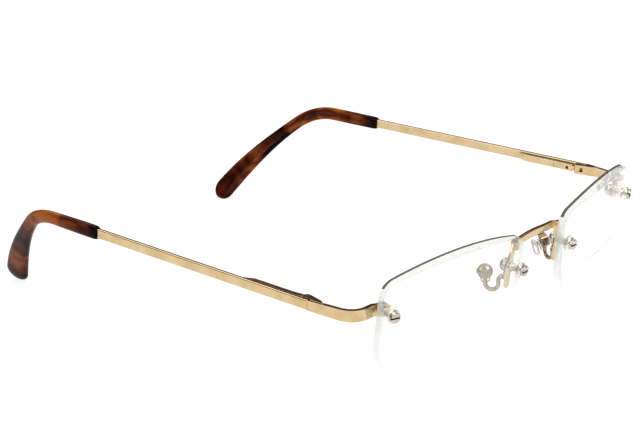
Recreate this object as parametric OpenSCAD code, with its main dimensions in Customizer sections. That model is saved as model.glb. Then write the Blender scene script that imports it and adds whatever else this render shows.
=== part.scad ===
// Rimless bifocal reading glasses with moulded reading segments and spring hinges.
// X runs across the face, with the wearer's left at +X. Y runs from the lenses back to the
// ears and Z is up. The lower lens edges and the ends of both temple tips touch Z = 0.
// The left side is modelled, and the right side is its mirror image.

/* [Lenses] */
// Width of one lens, edge to edge
lens_w = 51; // [46:0.5:56]
// Height of one lens from its lower edge to the corners' level
lens_h = 30.4; // [27:0.2:34]
// Space between the lenses at the nose
nose_gap = 20.1; // [17:0.1:24]
// Thickness of the lens at its middle
lens_thick = 4; // [3.4:0.1:5]
// Radius of the convex front surface
front_r = 90; // [80:1:110]
// Radius of the hollow rear surface
rear_r = 170; // [150:1:220]
// Rise of the arched top edge above its corners
top_arch = 6.3; // [3:0.1:8]
// Sag of the lower edge below its corners
low_sag = 1.3; // [0.5:0.1:4]
// How much narrower the lens is at its lower nasal corner
nasal_taper = 2.1; // [0:0.1:4]
// Corner radius at the top, on the nose side
top_nasal_r = 5; // [3:0.5:8]
// Corner radius at the top, on the ear side
top_ear_r = 4.8; // [3:0.2:8]
// Corner radius below, on the nose side
low_nasal_r = 18; // [10:1:18]
// Corner radius below, on the ear side
low_ear_r = 11.6; // [8:0.2:13]
// Turn of each lens round the face
wrap = 9.7; // [6:0.1:12]
// Lean of the lenses, top edge forward
lean = 10; // [7:0.5:12]

/* [Reading segment] */
// Width of the flat-topped reading segment
seg_w = 28; // [25:0.5:30]
// Height of the segment's flat top above the middle of its circle
seg_rise = 4.8; // [3:0.1:6]
// Distance of the flat top below the middle of the lens
seg_drop = 3.9; // [3:0.1:6]
// Inset of the segment towards the nose
seg_inset = 0.6; // [0:0.1:2.5]
// Extra power of the segment in dioptres
reading_add = 2; // [1:0.25:3]
// Refractive index of the lens material
lens_index = 1.5; // [1.45:0.01:1.6]

/* [Lens screws] */
// Distance of the nasal hole from the nasal edge
nasal_inset = 3; // [2.6:0.1:4]
// Height of the nasal hole above the middle of the lens
nasal_up = 3.8; // [2:0.1:6]
// Distance of the outer hole from the outer edge
ear_inset = 2.5; // [2.3:0.1:4]
// Height of the outer hole above the middle of the lens
ear_up = 4.2; // [2:0.1:6]
// Diameter of the screw thread
screw_d = 1.2; // [1:0.05:1.4]
// Diameter of the slotted screw head
head_d = 2.8; // [2.2:0.1:3.2]
// Height of the screw head
head_h = 0.9; // [0.7:0.1:1.2]
// Width of the screwdriver slot
slot_w = 0.45; // [0.3:0.05:0.6]
// Depth of the screwdriver slot
slot_deep = 0.4; // [0.2:0.05:0.5]
// Diameter of the metal washer under the head
cup_d = 3.5; // [3.3:0.1:4]
// Thickness of the metal washer
cup_t = 0.55; // [0.3:0.05:0.8]
// Diameter of the clear washer on the front of the lens
pad_washer_d = 4.3; // [4:0.1:5]
// Thickness of the clear washer on the front of the lens
pad_washer_t = 0.5; // [0.4:0.05:0.8]
// Diameter of the clear washer behind the lens
back_washer_d = 3.6; // [3.2:0.1:4.4]
// Thickness of the clear washer behind the lens
back_washer_t = 0.45; // [0.35:0.05:0.7]
// Wall of the plastic bushing in the lens hole
bush_wall = 0.3; // [0.2:0.05:0.4]
// Diameter of the domed nut
nut_d = 3.4; // [2.8:0.1:3.8]
// Height of the domed nut
nut_h = 2; // [1.6:0.1:2.6]
// Metal left over the end of the screw in the nut
nut_cap = 0.5; // [0.4:0.1:0.8]

/* [Bridge] */
// Height of the bridge bar
bar_h = 3; // [2:0.1:4]
// Thickness of the bridge bar
bar_t = 1.2; // [0.9:0.1:2]
// How far the middle of the bar bows forward
bar_bow = 1.7; // [0.5:0.1:3]
// Width of the flat posts behind the lenses
post_w = 2.3; // [1.9:0.1:3]
// Thickness of the posts and of the lugs behind the lenses
lug_t = 0.65; // [0.5:0.05:1]
// Reach of each post above its screw
post_rise = 7.3; // [6:0.1:9]
// Reach of each post below its screw
post_drop = 5.3; // [5:0.1:7]
// Lean of the top of each post towards the nose
post_lean = 2; // [1:0.1:3]

/* [Nose pads] */
// Diameter of the pad arm wire
wire_d = 1.1; // [0.9:0.05:1.3]
// Width of the wire loop between the middles of its legs
loop_w = 3.3; // [2.8:0.1:4.2]
// Turn of the loop away from straight back
loop_turn = 22; // [15:1:30]
// Reach of the wire back from the post to its loop
stub_back = 0.8; // [0.7:0.1:1.8]
// Reach of the wire outwards from the post to its loop
stub_side = 1.5; // [1:0.1:2]
// Fall of the wire from the post to its loop
stub_fall = 0.35; // [0.1:0.05:0.8]
// Depth of the loop below its upper end
loop_deep = 1.6; // [1.2:0.1:2.4]
// Diameter of the round box that holds the pad
box_d = 3.9; // [3.4:0.1:4.6]
// Depth of the round box
box_t = 1.9; // [1.7:0.1:2.4]
// Height of the middle of the box above the upper end of the loop
box_rise = 1.4; // [0.8:0.1:2.4]
// Length of the silicone pad
pad_l = 13; // [11:0.5:15]
// Width of the silicone pad
pad_w = 7; // [6:0.2:8]
// Thickness of the silicone pad
pad_t = 2.5; // [2.2:0.1:3]
// Distance of the middle of the pad below its screw
pad_low = 1.2; // [0:0.1:2]
// Turn of the pads away from straight across
pad_splay = 31; // [25:1:40]
// Lean of the pads, closer together at the top
pad_flare = 16; // [10:1:20]
// Diameter of the pad screw
pad_screw_d = 0.8; // [0.6:0.05:1]
// Thickness of the metal tang in the pad
tang_t = 0.8; // [0.6:0.05:1]

/* [Endpieces] */
// Reach of the endpiece outwards from the lens screw
end_out = 10.7; // [9:0.1:13]
// Reach of the endpiece back from the lens screw to the joint
end_back = 13.9; // [13:0.1:18]
// Rise of the endpiece from the lens screw to the joint
end_rise = 1.7; // [0:0.05:3]
// Height of the endpiece strap at the lens
strap_h = 2.9; // [2.6:0.1:4]
// Thickness of the strap
strap_t = 1.15; // [0.9:0.05:1.5]
// Radius of the quarter bend
bend_r = 4.8; // [3.5:0.1:6]
// Outward slant of the strap behind the bend
flare = 9.6; // [4:0.2:14]
// Radius of the lug round the lens screw
lug_r = 1.75; // [1.5:0.05:2.2]

/* [Hinges] */
// Distance of the hinge screw inwards from the inner face of the temple bar
pin_off = 1.2; // [1.15:0.05:1.5]
// Distance of the hinge screw behind the joint line
pin_back = 1.9; // [1.7:0.05:2.1]
// Diameter of the hinge screw
pin_d = 0.8; // [0.7:0.05:0.9]
// Outer diameter of the hinge knuckles
knuckle_d = 2.1; // [1.9:0.05:2.2]
// Height of the whole knuckle stack
stack_h = 2.6; // [2.5:0.1:3]
// Height of the middle knuckle
eye_h = 1.1; // [0.9:0.05:1.2]
// Depth of the seat for the hinge screw head
sink_h = 0.35; // [0.3:0.05:0.4]
// Length of the recess in front of the middle knuckle
recess_l = 1.4; // [0.6:0.1:1.6]
// Start of the spring housing behind the joint line
case_start = 3.3; // [3.2:0.1:3.6]
// Length of the spring housing
case_l = 17.7; // [16:0.1:19]
// Length of the slanted rear end of the housing
case_slant = 2.4; // [1:0.1:3]
// Height of the spring housing
case_h = 2.1; // [1.9:0.1:2.4]
// Distance of the bore's axis from the inner face of the temple bar
bore_off = 0.75; // [0.72:0.01:0.85]
// Diameter of the bore in the housing
case_bore = 1.3; // [1.2:0.05:1.4]
// Wall of the housing on the inner side of its bore
case_wall = 0.25; // [0.2:0.05:0.35]
// Reach of the collar at the housing's front end
collar = 0.55; // [0.1:0.05:0.6]
// Length over which the collar runs out
collar_l = 3.7; // [2:0.1:4.5]
// Length of the window in the collar that shows the slider's neck
fork_l = 2; // [1.2:0.1:2.4]
// Distance of the stop pin behind the joint line
stop_at = 9; // [8.6:0.1:9.6]
// Length of the stop bush
stop_l = 1.2; // [1:0.1:1.4]
// Diameter of the stop pin
stop_pin_d = 0.6; // [0.5:0.05:0.7]
// Diameter of the slider's rod
rod_d = 0.45; // [0.4:0.01:0.48]
// Diameter of the spring wire
spring_wire = 0.2; // [0.16:0.01:0.22]
// Turns of the spring
spring_turns = 8; // [6:1:9]

/* [Temples] */
// Inward slant of the temples
toe_in = 3.44; // [1:0.02:5]
// Rise of the temples towards the ears
rise = 3.87; // [2:0.01:5]
// Height of the temple bar
temple_h = 2.5; // [2:0.1:3]
// Thickness of the temple bar
temple_t = 1.1; // [0.9:0.05:1.4]
// Length of bare bar from the joint to the tip sleeve
bare_l = 69.2; // [60:0.2:76]
// Gap between the endpiece and the temple bar
joint_gap = 0.1; // [0.05:0.01:0.2]
// Radius of the bar's long edges
edge_r = 0.3; // [0.1:0.05:0.4]

/* [Temple tips] */
// Straight length of the sleeve before its bend
sleeve_l = 15.4; // [12:0.2:20]
// Radius of the ear bend
ear_r = 16.1; // [13:0.1:20]
// Angle of the ear bend
ear_bend = 45.6; // [38:0.1:50]
// Inward lean of the part behind the ear
tip_lean = 29; // [15:0.5:35]
// Length of the part behind the ear
tip_l = 34.6; // [28:0.1:38]
// Extra drop of the tip end from its curve
tip_curl = 5.5; // [2:0.1:8]
// Height of the sleeve where it meets the bar
sleeve_h = 3.7; // [3.4:0.1:4.5]
// Thickness of the sleeve
sleeve_t = 2.3; // [2.1:0.1:3]
// Width of the paddle at the end
paddle_w = 6.8; // [5.5:0.1:8]
// Thickness of the paddle
paddle_t = 2.1; // [1.9:0.1:2.6]
// Diameter of the core wire in the tip
core_d = 1.2; // [1:0.05:1.3]
// Length of core wire hidden in the tip
core_l = 48; // [42:1:52]

/* [Fits] */
// Radial clearance of a pin or screw in its hole
pin_fit = 0.03; // [0.02:0.01:0.06]
// Radial clearance of the slider and its bush in the housing
slide_fit = 0.05; // [0.03:0.01:0.08]
// Gap between pieces that are clamped together
seat_gap = 0.02; // [0.01:0.01:0.04]
// Gap between faces that swing past each other
swing_gap = 0.06; // [0.04:0.01:0.1]
// Gap between the silicone pad and its box
pad_gap = 0.5; // [0.45:0.05:0.8]

/* [Hidden] */
cut = 1;
round_fn = 64;
small_fn = 32;
ball_fn = 300;
gold = [0.86, 0.68, 0.43];
silver = [0.78, 0.79, 0.8];
clear = [0.86, 0.92, 0.92, 0.4];
tortoise = [0.36, 0.13, 0.06];

// Turns of a point about the X and the Z axis
function turn_x(a, p) = [p[0], p[1] * cos(a) - p[2] * sin(a), p[1] * sin(a) + p[2] * cos(a)];
function turn_z(a, p) = [p[0] * cos(a) - p[1] * sin(a), p[0] * sin(a) + p[1] * cos(a), p[2]];
function unit(v) = v / norm(v);
function ramp(t) = t <= 0 ? 0 : t >= 1 ? 1 : t * t * (3 - 2 * t);

// Lens surfaces, as depths behind the foremost point at u across and v up
function front_depth(u, v) = front_r - sqrt(front_r * front_r - u * u - v * v);
function rear_depth(u, v) = lens_thick + rear_r - sqrt(rear_r * rear_r - u * u - v * v);

// Lens outline: straight control lines with an arc at each corner
low_edge = -lens_h / 2 - low_sag / 8;
high_edge = lens_h / 2 + 0.42 * top_arch;
outline_pts = [[-lens_w / 2, high_edge - top_arch], [0, high_edge],
    [lens_w / 2, high_edge - top_arch], [lens_w / 2, low_edge + low_sag],
    [lens_w / 25, low_edge], [-lens_w / 2 + nasal_taper, low_edge + low_sag]];
function outline_pt(i) = outline_pts[(i + 6) % 6];
function half_corner(i) = let (
    a = unit(outline_pt(i - 1) - outline_pt(i)),
    b = unit(outline_pt(i + 1) - outline_pt(i))) acos(a * b) / 2;
function corner_cut(i, r) = r / tan(half_corner(i));
function side_l(i) = norm(outline_pt(i + 1) - outline_pt(i));
// The arcs of the top and lower edges run on until they meet the corner arcs
corner_r = [top_nasal_r, 0, top_ear_r, low_ear_r, 0, low_nasal_r];
meet = 0.985;
function free_l(i) = meet * min(
    side_l(i - 1) - corner_cut(i - 1, corner_r[i - 1]),
    side_l(i) - corner_cut(i + 1, corner_r[i + 1]));
low_share = 0.55;
outline_r = [corner_r[0], free_l(1) * tan(half_corner(1)), corner_r[2], corner_r[3],
    low_share * free_l(4) * tan(half_corner(4)), corner_r[5]];
function swing(a, b) = (b - a + 540) % 360 - 180;
function corner_arc(i, r, steps) = let (
    here = outline_pt(i),
    a = unit(outline_pt(i - 1) - here),
    b = unit(outline_pt(i + 1) - here),
    mid = here + unit(a + b) * r / sin(half_corner(i)),
    from = here + a * corner_cut(i, r) - mid,
    to = here + b * corner_cut(i, r) - mid,
    start = atan2(from[1], from[0]),
    turn = swing(start, atan2(to[1], to[0])))
    [for (k = [0:steps]) mid + r * [cos(start + turn * k / steps),
        sin(start + turn * k / steps)]];
outline_steps = [8, 16, 8, 12, 6, 14];
lens_outline = [for (i = [0:5]) each corner_arc(i, outline_r[i], outline_steps[i])];

// Reading segment: a steeper ball that meets the front surface in a circle, cut flat on top
seg_r = 1 / (1 / front_r + reading_add / (lens_index - 1) / 1000);
seg_site = [-seg_inset, -seg_drop - seg_rise];
seg_turn = asin(seg_site[0] / front_r);
seg_nod = asin(seg_site[1] / front_r);
seg_back = sqrt(front_r * front_r - seg_w * seg_w / 4) - sqrt(seg_r * seg_r - seg_w * seg_w / 4);
seg_mid = [0, front_r, 0] + turn_z(seg_turn, turn_x(-seg_nod, [0, -seg_back, 0]));
function seg_depth(u, v) = seg_mid[1]
    - sqrt(seg_r * seg_r - pow(u - seg_mid[0], 2) - pow(v - seg_mid[2], 2));

// Foremost point of the left lens, set so that its lower front edge touches the table
low_point = min([for (p = lens_outline) p[1] * cos(lean)
    + min(front_depth(p[0], p[1]), seg_depth(p[0], p[1])) * sin(lean)]);
apex = [nose_gap / 2 + lens_w / 2 * cos(wrap), lens_w / 2 * sin(wrap), -low_point];
function lens_point(p) = apex + turn_z(wrap, turn_x(lean, p));

// Screw sites [u, v]: the hole runs square to the middle of the lens at that place
nasal_site = [nasal_inset - lens_w / 2, nasal_up];
ear_site = [lens_w / 2 - ear_inset, ear_up];
function site_turn(s) = (asin(s[0] / front_r) + asin(s[0] / rear_r)) / 2;
function site_nod(s) = -(asin(s[1] / front_r) + asin(s[1] / rear_r)) / 2;
function site_mid(s) = (front_depth(s[0], s[1]) + rear_depth(s[0], s[1])) / 2;
function half_t(s) = (rear_depth(s[0], s[1]) - front_depth(s[0], s[1])) / 2
    * cos(site_turn(s)) * cos(site_nod(s));
function site_point(s, p) = lens_point([s[0], site_mid(s), s[1]]
    + turn_z(site_turn(s), turn_x(site_nod(s), p)));
// Planes across each screw, counted from the middle of the lens
function washer_face(s) = half_t(s) + pad_washer_t;
function cup_face(s) = washer_face(s) + seat_gap + cup_t;
function lug_front(s) = half_t(s) + back_washer_t + seat_gap;
function nut_seat(s) = lug_front(s) + lug_t + seat_gap;
function screw_end(s) = nut_seat(s) + nut_h - nut_cap - seat_gap;
bush_d = screw_d + 2 * (pin_fit + bush_wall);
lens_hole_d = bush_d + 2 * pin_fit;
screw_hole_d = screw_d + 2 * pin_fit;

// Side frame: origin at the joint line, Y along the temple, Z along the hinge screw
lug_at = site_point(ear_site, [0, lug_front(ear_site) + lug_t / 2, 0]);
joint_at = lug_at + [end_out, end_back, end_rise];
function from_side(p) = joint_at + turn_z(toe_in, turn_x(rise, p));
function to_side(p) = turn_x(-rise, turn_z(-toe_in, p - joint_at));
lug_side = to_side(lug_at);

// Strap of the endpiece, seen from above in the side frame
leg_step = 1.2;
leg_y = lug_side[1] + leg_step;
leg_start = lug_side[0] + lug_r + 0.9;
bend_turn = 90 - flare;
bend_end_y = leg_y + bend_r * (1 - cos(bend_turn));
bend_x = bend_end_y * tan(flare) - bend_r * sin(bend_turn);
strap_end = strap_t / 2 / cos(flare);
bend_steps = 16;

// Pad frame: origin at the pad screw, X towards the nose, Y along the screw
post_back = lug_front(nasal_site) + lug_t;
stub_low = nut_d / 2 + wire_d + 0.15;
foot_deep = 0.7;
stub_at = site_point(nasal_site, [0, post_back + foot_deep - 0.1, -stub_low]);
leg_one = stub_at + [stub_side, stub_back, -stub_fall];
leg_two = leg_one + loop_w * [sin(loop_turn), cos(loop_turn), 0];
leg_back = 1;
pad_turn = 180 - pad_splay;
pad_toward = turn_z(pad_turn, [cos(pad_flare), 0, -sin(pad_flare)]);
pad_at = leg_two + [0, 0, box_rise] + leg_back * pad_toward;
box_mouth = 0.6;
pad_start = box_mouth + pad_gap;
insert_t = 0.5;
insert_at = pad_start + 0.7;

// Spring housing and slider in the side frame
pin_in = temple_t / 2 + pin_off;
bore_in = temple_t / 2 + bore_off;
case_in = bore_in + case_bore / 2 + case_wall;
case_half = case_h / 2;
case_end = case_start + case_l;
bore_end = case_end - case_slant - 0.25;
bore_rest = 0.35;
foot_t = 0.6;
foot_d = case_bore - 2 * slide_fit - 0.1;
foot_y = bore_end - bore_rest - foot_t;
bush_start = stop_at - stop_l / 2;
bush_end = stop_at + stop_l / 2;
guide_end = bush_start - 0.7;
pin_sink = 0.25;
sink_d = pin_d + 0.5;
spring_free = 0.05;
spring_start = bush_end + spring_wire / 2 + spring_free;
spring_stop = foot_y - spring_wire / 2 - spring_free;
spring_r = case_bore / 2 - slide_fit - 0.06 - spring_wire / 2;

// Centre line of the temple tip in the side frame, k from 0 at the sleeve mouth
ear_l = ear_r * ear_bend * PI / 180;
tip_whole = sleeve_l + ear_l + tip_l;
tip_down = [-sin(tip_lean), 0, -cos(tip_lean)];
bend_start = bare_l + sleeve_l;
ear_end = [0, bend_start + ear_r * sin(ear_bend), 0] + ear_r * (1 - cos(ear_bend)) * tip_down;
tip_dir = [0, cos(ear_bend), 0] + sin(ear_bend) * tip_down;
tip_side = [0, -sin(ear_bend), 0] + cos(ear_bend) * tip_down;
tip_out = 0.75;
function tip_point(s) = s <= sleeve_l ? [0, bare_l + s, 0]
    : s <= sleeve_l + ear_l ? let (a = (s - sleeve_l) / ear_r * 180 / PI)
        [0, bend_start + ear_r * sin(a), 0] + ear_r * (1 - cos(a)) * tip_down
    : let (d = s - sleeve_l - ear_l, k = d / tip_l)
        ear_end + d * tip_dir + tip_curl * k * k * tip_side + [tip_out * k * k, 0, 0];
step = 0.05;
function tip_along(s) = unit(tip_point(s + step) - tip_point(s - step));
// The wide side of the tip starts upright and turns into the plane of the bend
function tip_wide(s) = let (
    t = tip_along(s),
    k = ramp(s / (sleeve_l + ear_l)),
    v = (1 - k) * [0, 0, 1] - k * tip_down,
    w = v - (v * t) * t) unit(w);
function tip_thin(s) = cross(tip_wide(s), tip_along(s));
function tip_height(s) = sleeve_h + (paddle_w - sleeve_h)
    * ramp((s - sleeve_l - ear_l) / (tip_l * 0.95));
function tip_thick(s) = sleeve_t + (paddle_t - sleeve_t) * s / tip_whole;
// Rounded mouth and end, as a share of the full section
mouth_l = 1.6;
end_l = paddle_w * 0.52;
function end_share(s) = s < mouth_l ? 0.8 + 0.2 * sqrt(1 - pow(1 - s / mouth_l, 2))
    : s > tip_whole - end_l ? sqrt(max(0.0036, 1 - pow((s - tip_whole + end_l) / end_l, 2)))
    : 1;
section_pts = 20;
squareness = 0.75;
function bulge(c) = sign(c) * pow(abs(c), squareness);
function tip_ring(s) = [for (i = [0:section_pts - 1]) let (a = 360 * i / section_pts)
    tip_point(s)
    + bulge(cos(a)) * tip_thick(s) / 2 * (0.35 + 0.65 * end_share(s)) * tip_thin(s)
    + bulge(sin(a)) * tip_height(s) / 2 * end_share(s) * tip_wide(s)];
core_sides = 8;
function wire_ring(s, r) = [for (i = [0:core_sides - 1])
    let (a = 360 * (i + 0.5) / core_sides)
    tip_point(s) + r * cos(a) * tip_thin(s) + r * sin(a) * tip_wide(s)];

// Rings joined into one closed skin
module skin(rings) {
    n = len(rings[0]);
    last = len(rings) - 1;
    polyhedron(
        points = [for (ring = rings) each ring],
        faces = concat(
            [[for (i = [0:n - 1]) i]],
            [for (k = [0:last - 1], i = [0:n - 1])
                [k * n + i, (k + 1) * n + i, (k + 1) * n + (i + 1) % n, k * n + (i + 1) % n]],
            [[for (i = [n - 1:-1:0]) last * n + i]]),
        convexity = 6);
}

// Frames
module on_lens() translate(apex) rotate([0, 0, wrap]) rotate([lean, 0, 0]) children();
module on_site(s) on_lens() translate([s[0], site_mid(s), s[1]])
    rotate([site_nod(s), 0, site_turn(s)]) children();
module on_side() translate(joint_at) rotate([0, 0, toe_in]) rotate([rise, 0, 0]) children();
module on_pad() translate(pad_at) rotate([0, 0, pad_turn]) rotate([0, pad_flare, 0]) children();
module right_of() mirror([1, 0, 0]) children();
module both() {
    children();
    mirror([1, 0, 0]) children();
}
module each_site() both() for (s = [nasal_site, ear_site]) on_site(s) {
    $site = s;
    children();
}
// Solid of revolution along Y, drawn as radius across and depth up
module turned(fn = round_fn) rotate([-90, 0, 0]) rotate_extrude($fn = fn) children();
// Round bar along Y from one depth to another
module bar_y(d, from, to, fn = small_fn) translate([0, from, 0]) rotate([-90, 0, 0])
    cylinder(h = to - from, d = d, $fn = fn);
// Flat shape drawn in X and Z, from one depth to another
module plate_y(from, to) translate([0, to, 0]) rotate([90, 0, 0])
    linear_extrude(to - from) children();

module front_ball() translate([0, front_r, 0]) sphere(r = front_r, $fn = ball_fn);
module rear_ball() translate([0, lens_thick + rear_r, 0]) sphere(r = rear_r, $fn = ball_fn);

module segment_ball() intersection() {
    translate(seg_mid) sphere(r = seg_r, $fn = ball_fn);
    translate([-seg_w, -seg_w / 2, -seg_drop - 2 * seg_w])
        cube([2 * seg_w, seg_w, 2 * seg_w]);
}
module lens() color(clear) difference() {
    on_lens() difference() {
        intersection() {
            plate_y(-cut, front_r / 2) polygon(lens_outline);
            union() {
                front_ball();
                segment_ball();
            }
        }
        rear_ball();
    }
    for (s = [nasal_site, ear_site]) on_site(s) bar_y(lens_hole_d, -lens_thick, lens_thick);
}

// Slotted screw: a barrel head with a rounded rim and a plain shank
head_edge = 0.2;
module lens_screws() color(silver) each_site() difference() {
    union() {
        turned() translate([0, -cup_face($site) - seat_gap - head_h]) union() {
            square([head_d / 2 - head_edge, head_h]);
            translate([0, head_edge]) square([head_d / 2, head_h - head_edge]);
            translate([head_d / 2 - head_edge, head_edge]) circle(head_edge, $fn = small_fn);
        }
        bar_y(screw_d, -cup_face($site) - seat_gap - head_edge, screw_end($site));
    }
    translate([-head_d, -cup_face($site) - seat_gap - head_h - cut, -slot_w / 2])
        cube([2 * head_d, slot_deep + cut, slot_w]);
}
// Dished metal washer, wider at the lens
module screw_washers() color(silver) each_site() turned() polygon([
    [screw_hole_d / 2, -cup_face($site)],
    [head_d / 2 + 0.1, -cup_face($site)],
    [cup_d / 2, -cup_face($site) + cup_t * 0.4],
    [cup_d / 2, -washer_face($site) - seat_gap],
    [screw_hole_d / 2, -washer_face($site) - seat_gap]]);
// Clear washers, cut to the slant of the lens surface that they lie on
module lens_face(s, r, depth) on_lens() translate([s[0], depth, s[1]])
    rotate([-asin(s[1] / r), 0, asin(s[0] / r)]) children();
module front_washers() color(clear) both() for (s = [nasal_site, ear_site]) difference() {
    on_site(s) bar_y(pad_washer_d, -washer_face(s), 0, round_fn);
    on_site(s) bar_y(screw_hole_d, -washer_face(s) - cut, cut);
    lens_face(s, front_r, front_depth(s[0], s[1])) translate([-pad_washer_d, -seat_gap,
        -pad_washer_d]) cube([2 * pad_washer_d, 2 * lens_thick, 2 * pad_washer_d]);
}
module rear_washers() color(clear) both() for (s = [nasal_site, ear_site]) difference() {
    on_site(s) bar_y(back_washer_d, 0, half_t(s) + back_washer_t, round_fn);
    on_site(s) bar_y(screw_hole_d, -cut, half_t(s) + back_washer_t + cut);
    lens_face(s, rear_r, rear_depth(s[0], s[1])) translate([-back_washer_d,
        1.5 * seat_gap - 2 * lens_thick, -back_washer_d])
        cube([2 * back_washer_d, 2 * lens_thick, 2 * back_washer_d]);
}
bush_short = 0.2;
module lens_bushings() color(clear) each_site() difference() {
    bar_y(bush_d, -half_t($site) + bush_short, half_t($site) - bush_short);
    bar_y(screw_hole_d, -half_t($site), half_t($site));
}
// Domed nut with a blind hole
dome_h = nut_h * 0.55;
module lens_nuts() color(silver) each_site() difference() {
    turned() translate([0, nut_seat($site)]) intersection() {
        union() {
            square([nut_d / 2, nut_h - dome_h]);
            translate([0, nut_h - dome_h]) dome_profile();
        }
        square([nut_d, nut_h]);
    }
    bar_y(screw_hole_d, nut_seat($site) - cut, screw_end($site) + seat_gap);
}
// Arc of the dome from the nut's wall to its crown
module dome_profile() {
    r = nut_d / 2;
    dome_r = (r * r + dome_h * dome_h) / (2 * dome_h);
    intersection() {
        translate([0, dome_h - dome_r]) circle(dome_r, $fn = 96);
        square([r, dome_h]);
    }
}

// Bridge: a bowed bar between two flat posts that stand behind the lenses
post_head = site_point(nasal_site, [-post_lean, lug_front(nasal_site), post_rise]);
bar_foot = site_point(nasal_site, [-post_lean, lug_front(nasal_site), post_rise - bar_h]);
bar_reach = post_head[0] + post_w / 2;
bow_reach = nose_gap / 2 + 0.6;
bow_steps = 28;
function bow_y(x) = abs(x) > bow_reach ? 0
    : -bar_bow * (1 + cos(180 * x / bow_reach)) / 2;
bar_xs = concat([-bar_reach], [for (k = [0:bow_steps]) bow_reach * (2 * k / bow_steps - 1)],
    [bar_reach]);
module post_shape() {
    h = post_w / 2;
    translate([0, h - post_drop]) circle(h, $fn = small_fn);
    polygon([[-h, h - post_drop], [h, h - post_drop], [h, 0], [h - post_lean, post_rise],
        [-h - post_lean, post_rise], [-h, 0]]);
}
module bridge() color(gold) {
    translate([0, bar_foot[1], post_head[2] - bar_h]) linear_extrude(bar_h) polygon(concat(
        [for (x = bar_xs) [x, bow_y(x)]],
        [for (k = [len(bar_xs) - 1:-1:0]) [bar_xs[k], bow_y(bar_xs[k]) + bar_t]]));
    both() on_site(nasal_site) difference() {
        plate_y(lug_front(nasal_site), lug_front(nasal_site) + lug_t) post_shape();
        bar_y(screw_hole_d, 0, nut_seat(nasal_site) + cut);
    }
}

// Pad arm: foot on the post, wire loop and round box with a slot for the tang
box_slot = tang_t + 0.3;
slot_long = 3;
slot_floor = 0.95;
// Centre line of the wire: control points with an arc at each bend
loop_base = [0, 0, -loop_deep - loop_w / 2];
wire_pts = [stub_at, leg_one, leg_one + loop_base, leg_two + loop_base,
    leg_two + [0, 0, box_rise - box_d / 2 + wire_d * 0.7]];
elbow_r = 0.9;
wire_bends = [0, elbow_r, loop_w / 2, loop_w / 2, 0];
wire_steps = 7;
function wire_arc(i) = let (
    here = wire_pts[i],
    a = unit(wire_pts[i - 1] - here),
    b = unit(wire_pts[i + 1] - here),
    half = acos(a * b) / 2,
    r = wire_bends[i],
    mid = here + unit(a + b) * r / sin(half),
    from = here + a * r / tan(half) - mid,
    to = here + b * r / tan(half) - mid,
    whole = 180 - 2 * half)
    [for (k = [0:wire_steps]) mid + (sin(whole - whole * k / wire_steps) * from
        + sin(whole * k / wire_steps) * to) / sin(whole)];
wire_line = concat([wire_pts[0]], wire_arc(1), wire_arc(2),
    [for (k = [1:wire_steps]) wire_arc(3)[k]], [wire_pts[4]]);
wire_sides = 10;
wire_flat = [cos(loop_turn), -sin(loop_turn), 0];
function arm_ring(k) = let (
    last = len(wire_line) - 1,
    t = unit(wire_line[min(k + 1, last)] - wire_line[max(k - 1, 0)]),
    a = unit(wire_flat - (wire_flat * t) * t),
    b = cross(t, a))
    [for (i = [0:wire_sides - 1]) let (turn = 360 * i / wire_sides)
        wire_line[k] + wire_d / 2 * (cos(turn) * a + sin(turn) * b)];
module pad_arm() color(gold) difference() {
    union() {
        on_site(nasal_site) translate([0, 0, -stub_low])
            bar_y(2 * wire_d, post_back + seat_gap, post_back + foot_deep, round_fn);
        skin([for (k = [0:len(wire_line) - 1]) arm_ring(k)]);
        on_pad() translate([box_mouth - box_t, 0, 0]) rotate([0, 90, 0])
            cylinder(h = box_t, d = box_d, $fn = round_fn);
    }
    on_pad() {
        translate([-slot_floor, -box_slot / 2, -slot_long / 2])
            cube([slot_floor + box_mouth + cut, box_slot, slot_long]);
        bar_y(pad_screw_d + 2 * pin_fit, -box_d, box_d);
    }
}
pad_head_h = 0.35;
module pad_screw() color(gold) on_pad() difference() {
    union() {
        bar_y(pad_screw_d, -box_d / 2 - pad_head_h / 2, box_d / 2);
        bar_y(pad_screw_d + 0.5, -box_d / 2 - pad_head_h, -box_d / 2 - seat_gap);
    }
    translate([-1, -box_d / 2 - pad_head_h - cut, -0.12]) cube([2, cut + 0.18, 0.24]);
}
insert_w = 3.4;
insert_l = 6;
eye_d = pad_screw_d + 0.9;
neck_l = 1.5;
module tang_solid(grow) {
    translate([insert_at - grow, -insert_w / 2 - grow, -pad_low - insert_l / 2 - grow])
        cube([insert_t + 2 * grow, insert_w + 2 * grow, insert_l + 2 * grow]);
    translate([0, -tang_t / 2 - grow, -neck_l / 2 - grow])
        cube([insert_at + insert_t / 2, tang_t + 2 * grow, neck_l + 2 * grow]);
}
module pad_tang() color(gold) on_pad() difference() {
    union() {
        tang_solid(0);
        bar_y(eye_d, -tang_t / 2, tang_t / 2);
    }
    bar_y(pad_screw_d + 2 * pin_fit, -tang_t, tang_t);
}
// Soft pad: two rounded ends, the lower one larger
module nose_pad() color(clear) on_pad() difference() {
    hull() {
        top_r = pad_w * 0.4;
        low_r = pad_w / 2;
        translate([pad_start + pad_t / 2, 0, pad_l / 2 - pad_low - top_r])
            resize([pad_t * 0.9, 2 * top_r, 2 * top_r]) sphere(r = top_r, $fn = 24);
        translate([pad_start + pad_t / 2, 0, low_r - pad_l / 2 - pad_low])
            resize([pad_t, 2 * low_r, 2 * low_r]) sphere(r = low_r, $fn = 24);
    }
    tang_solid(seat_gap);
}

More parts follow.
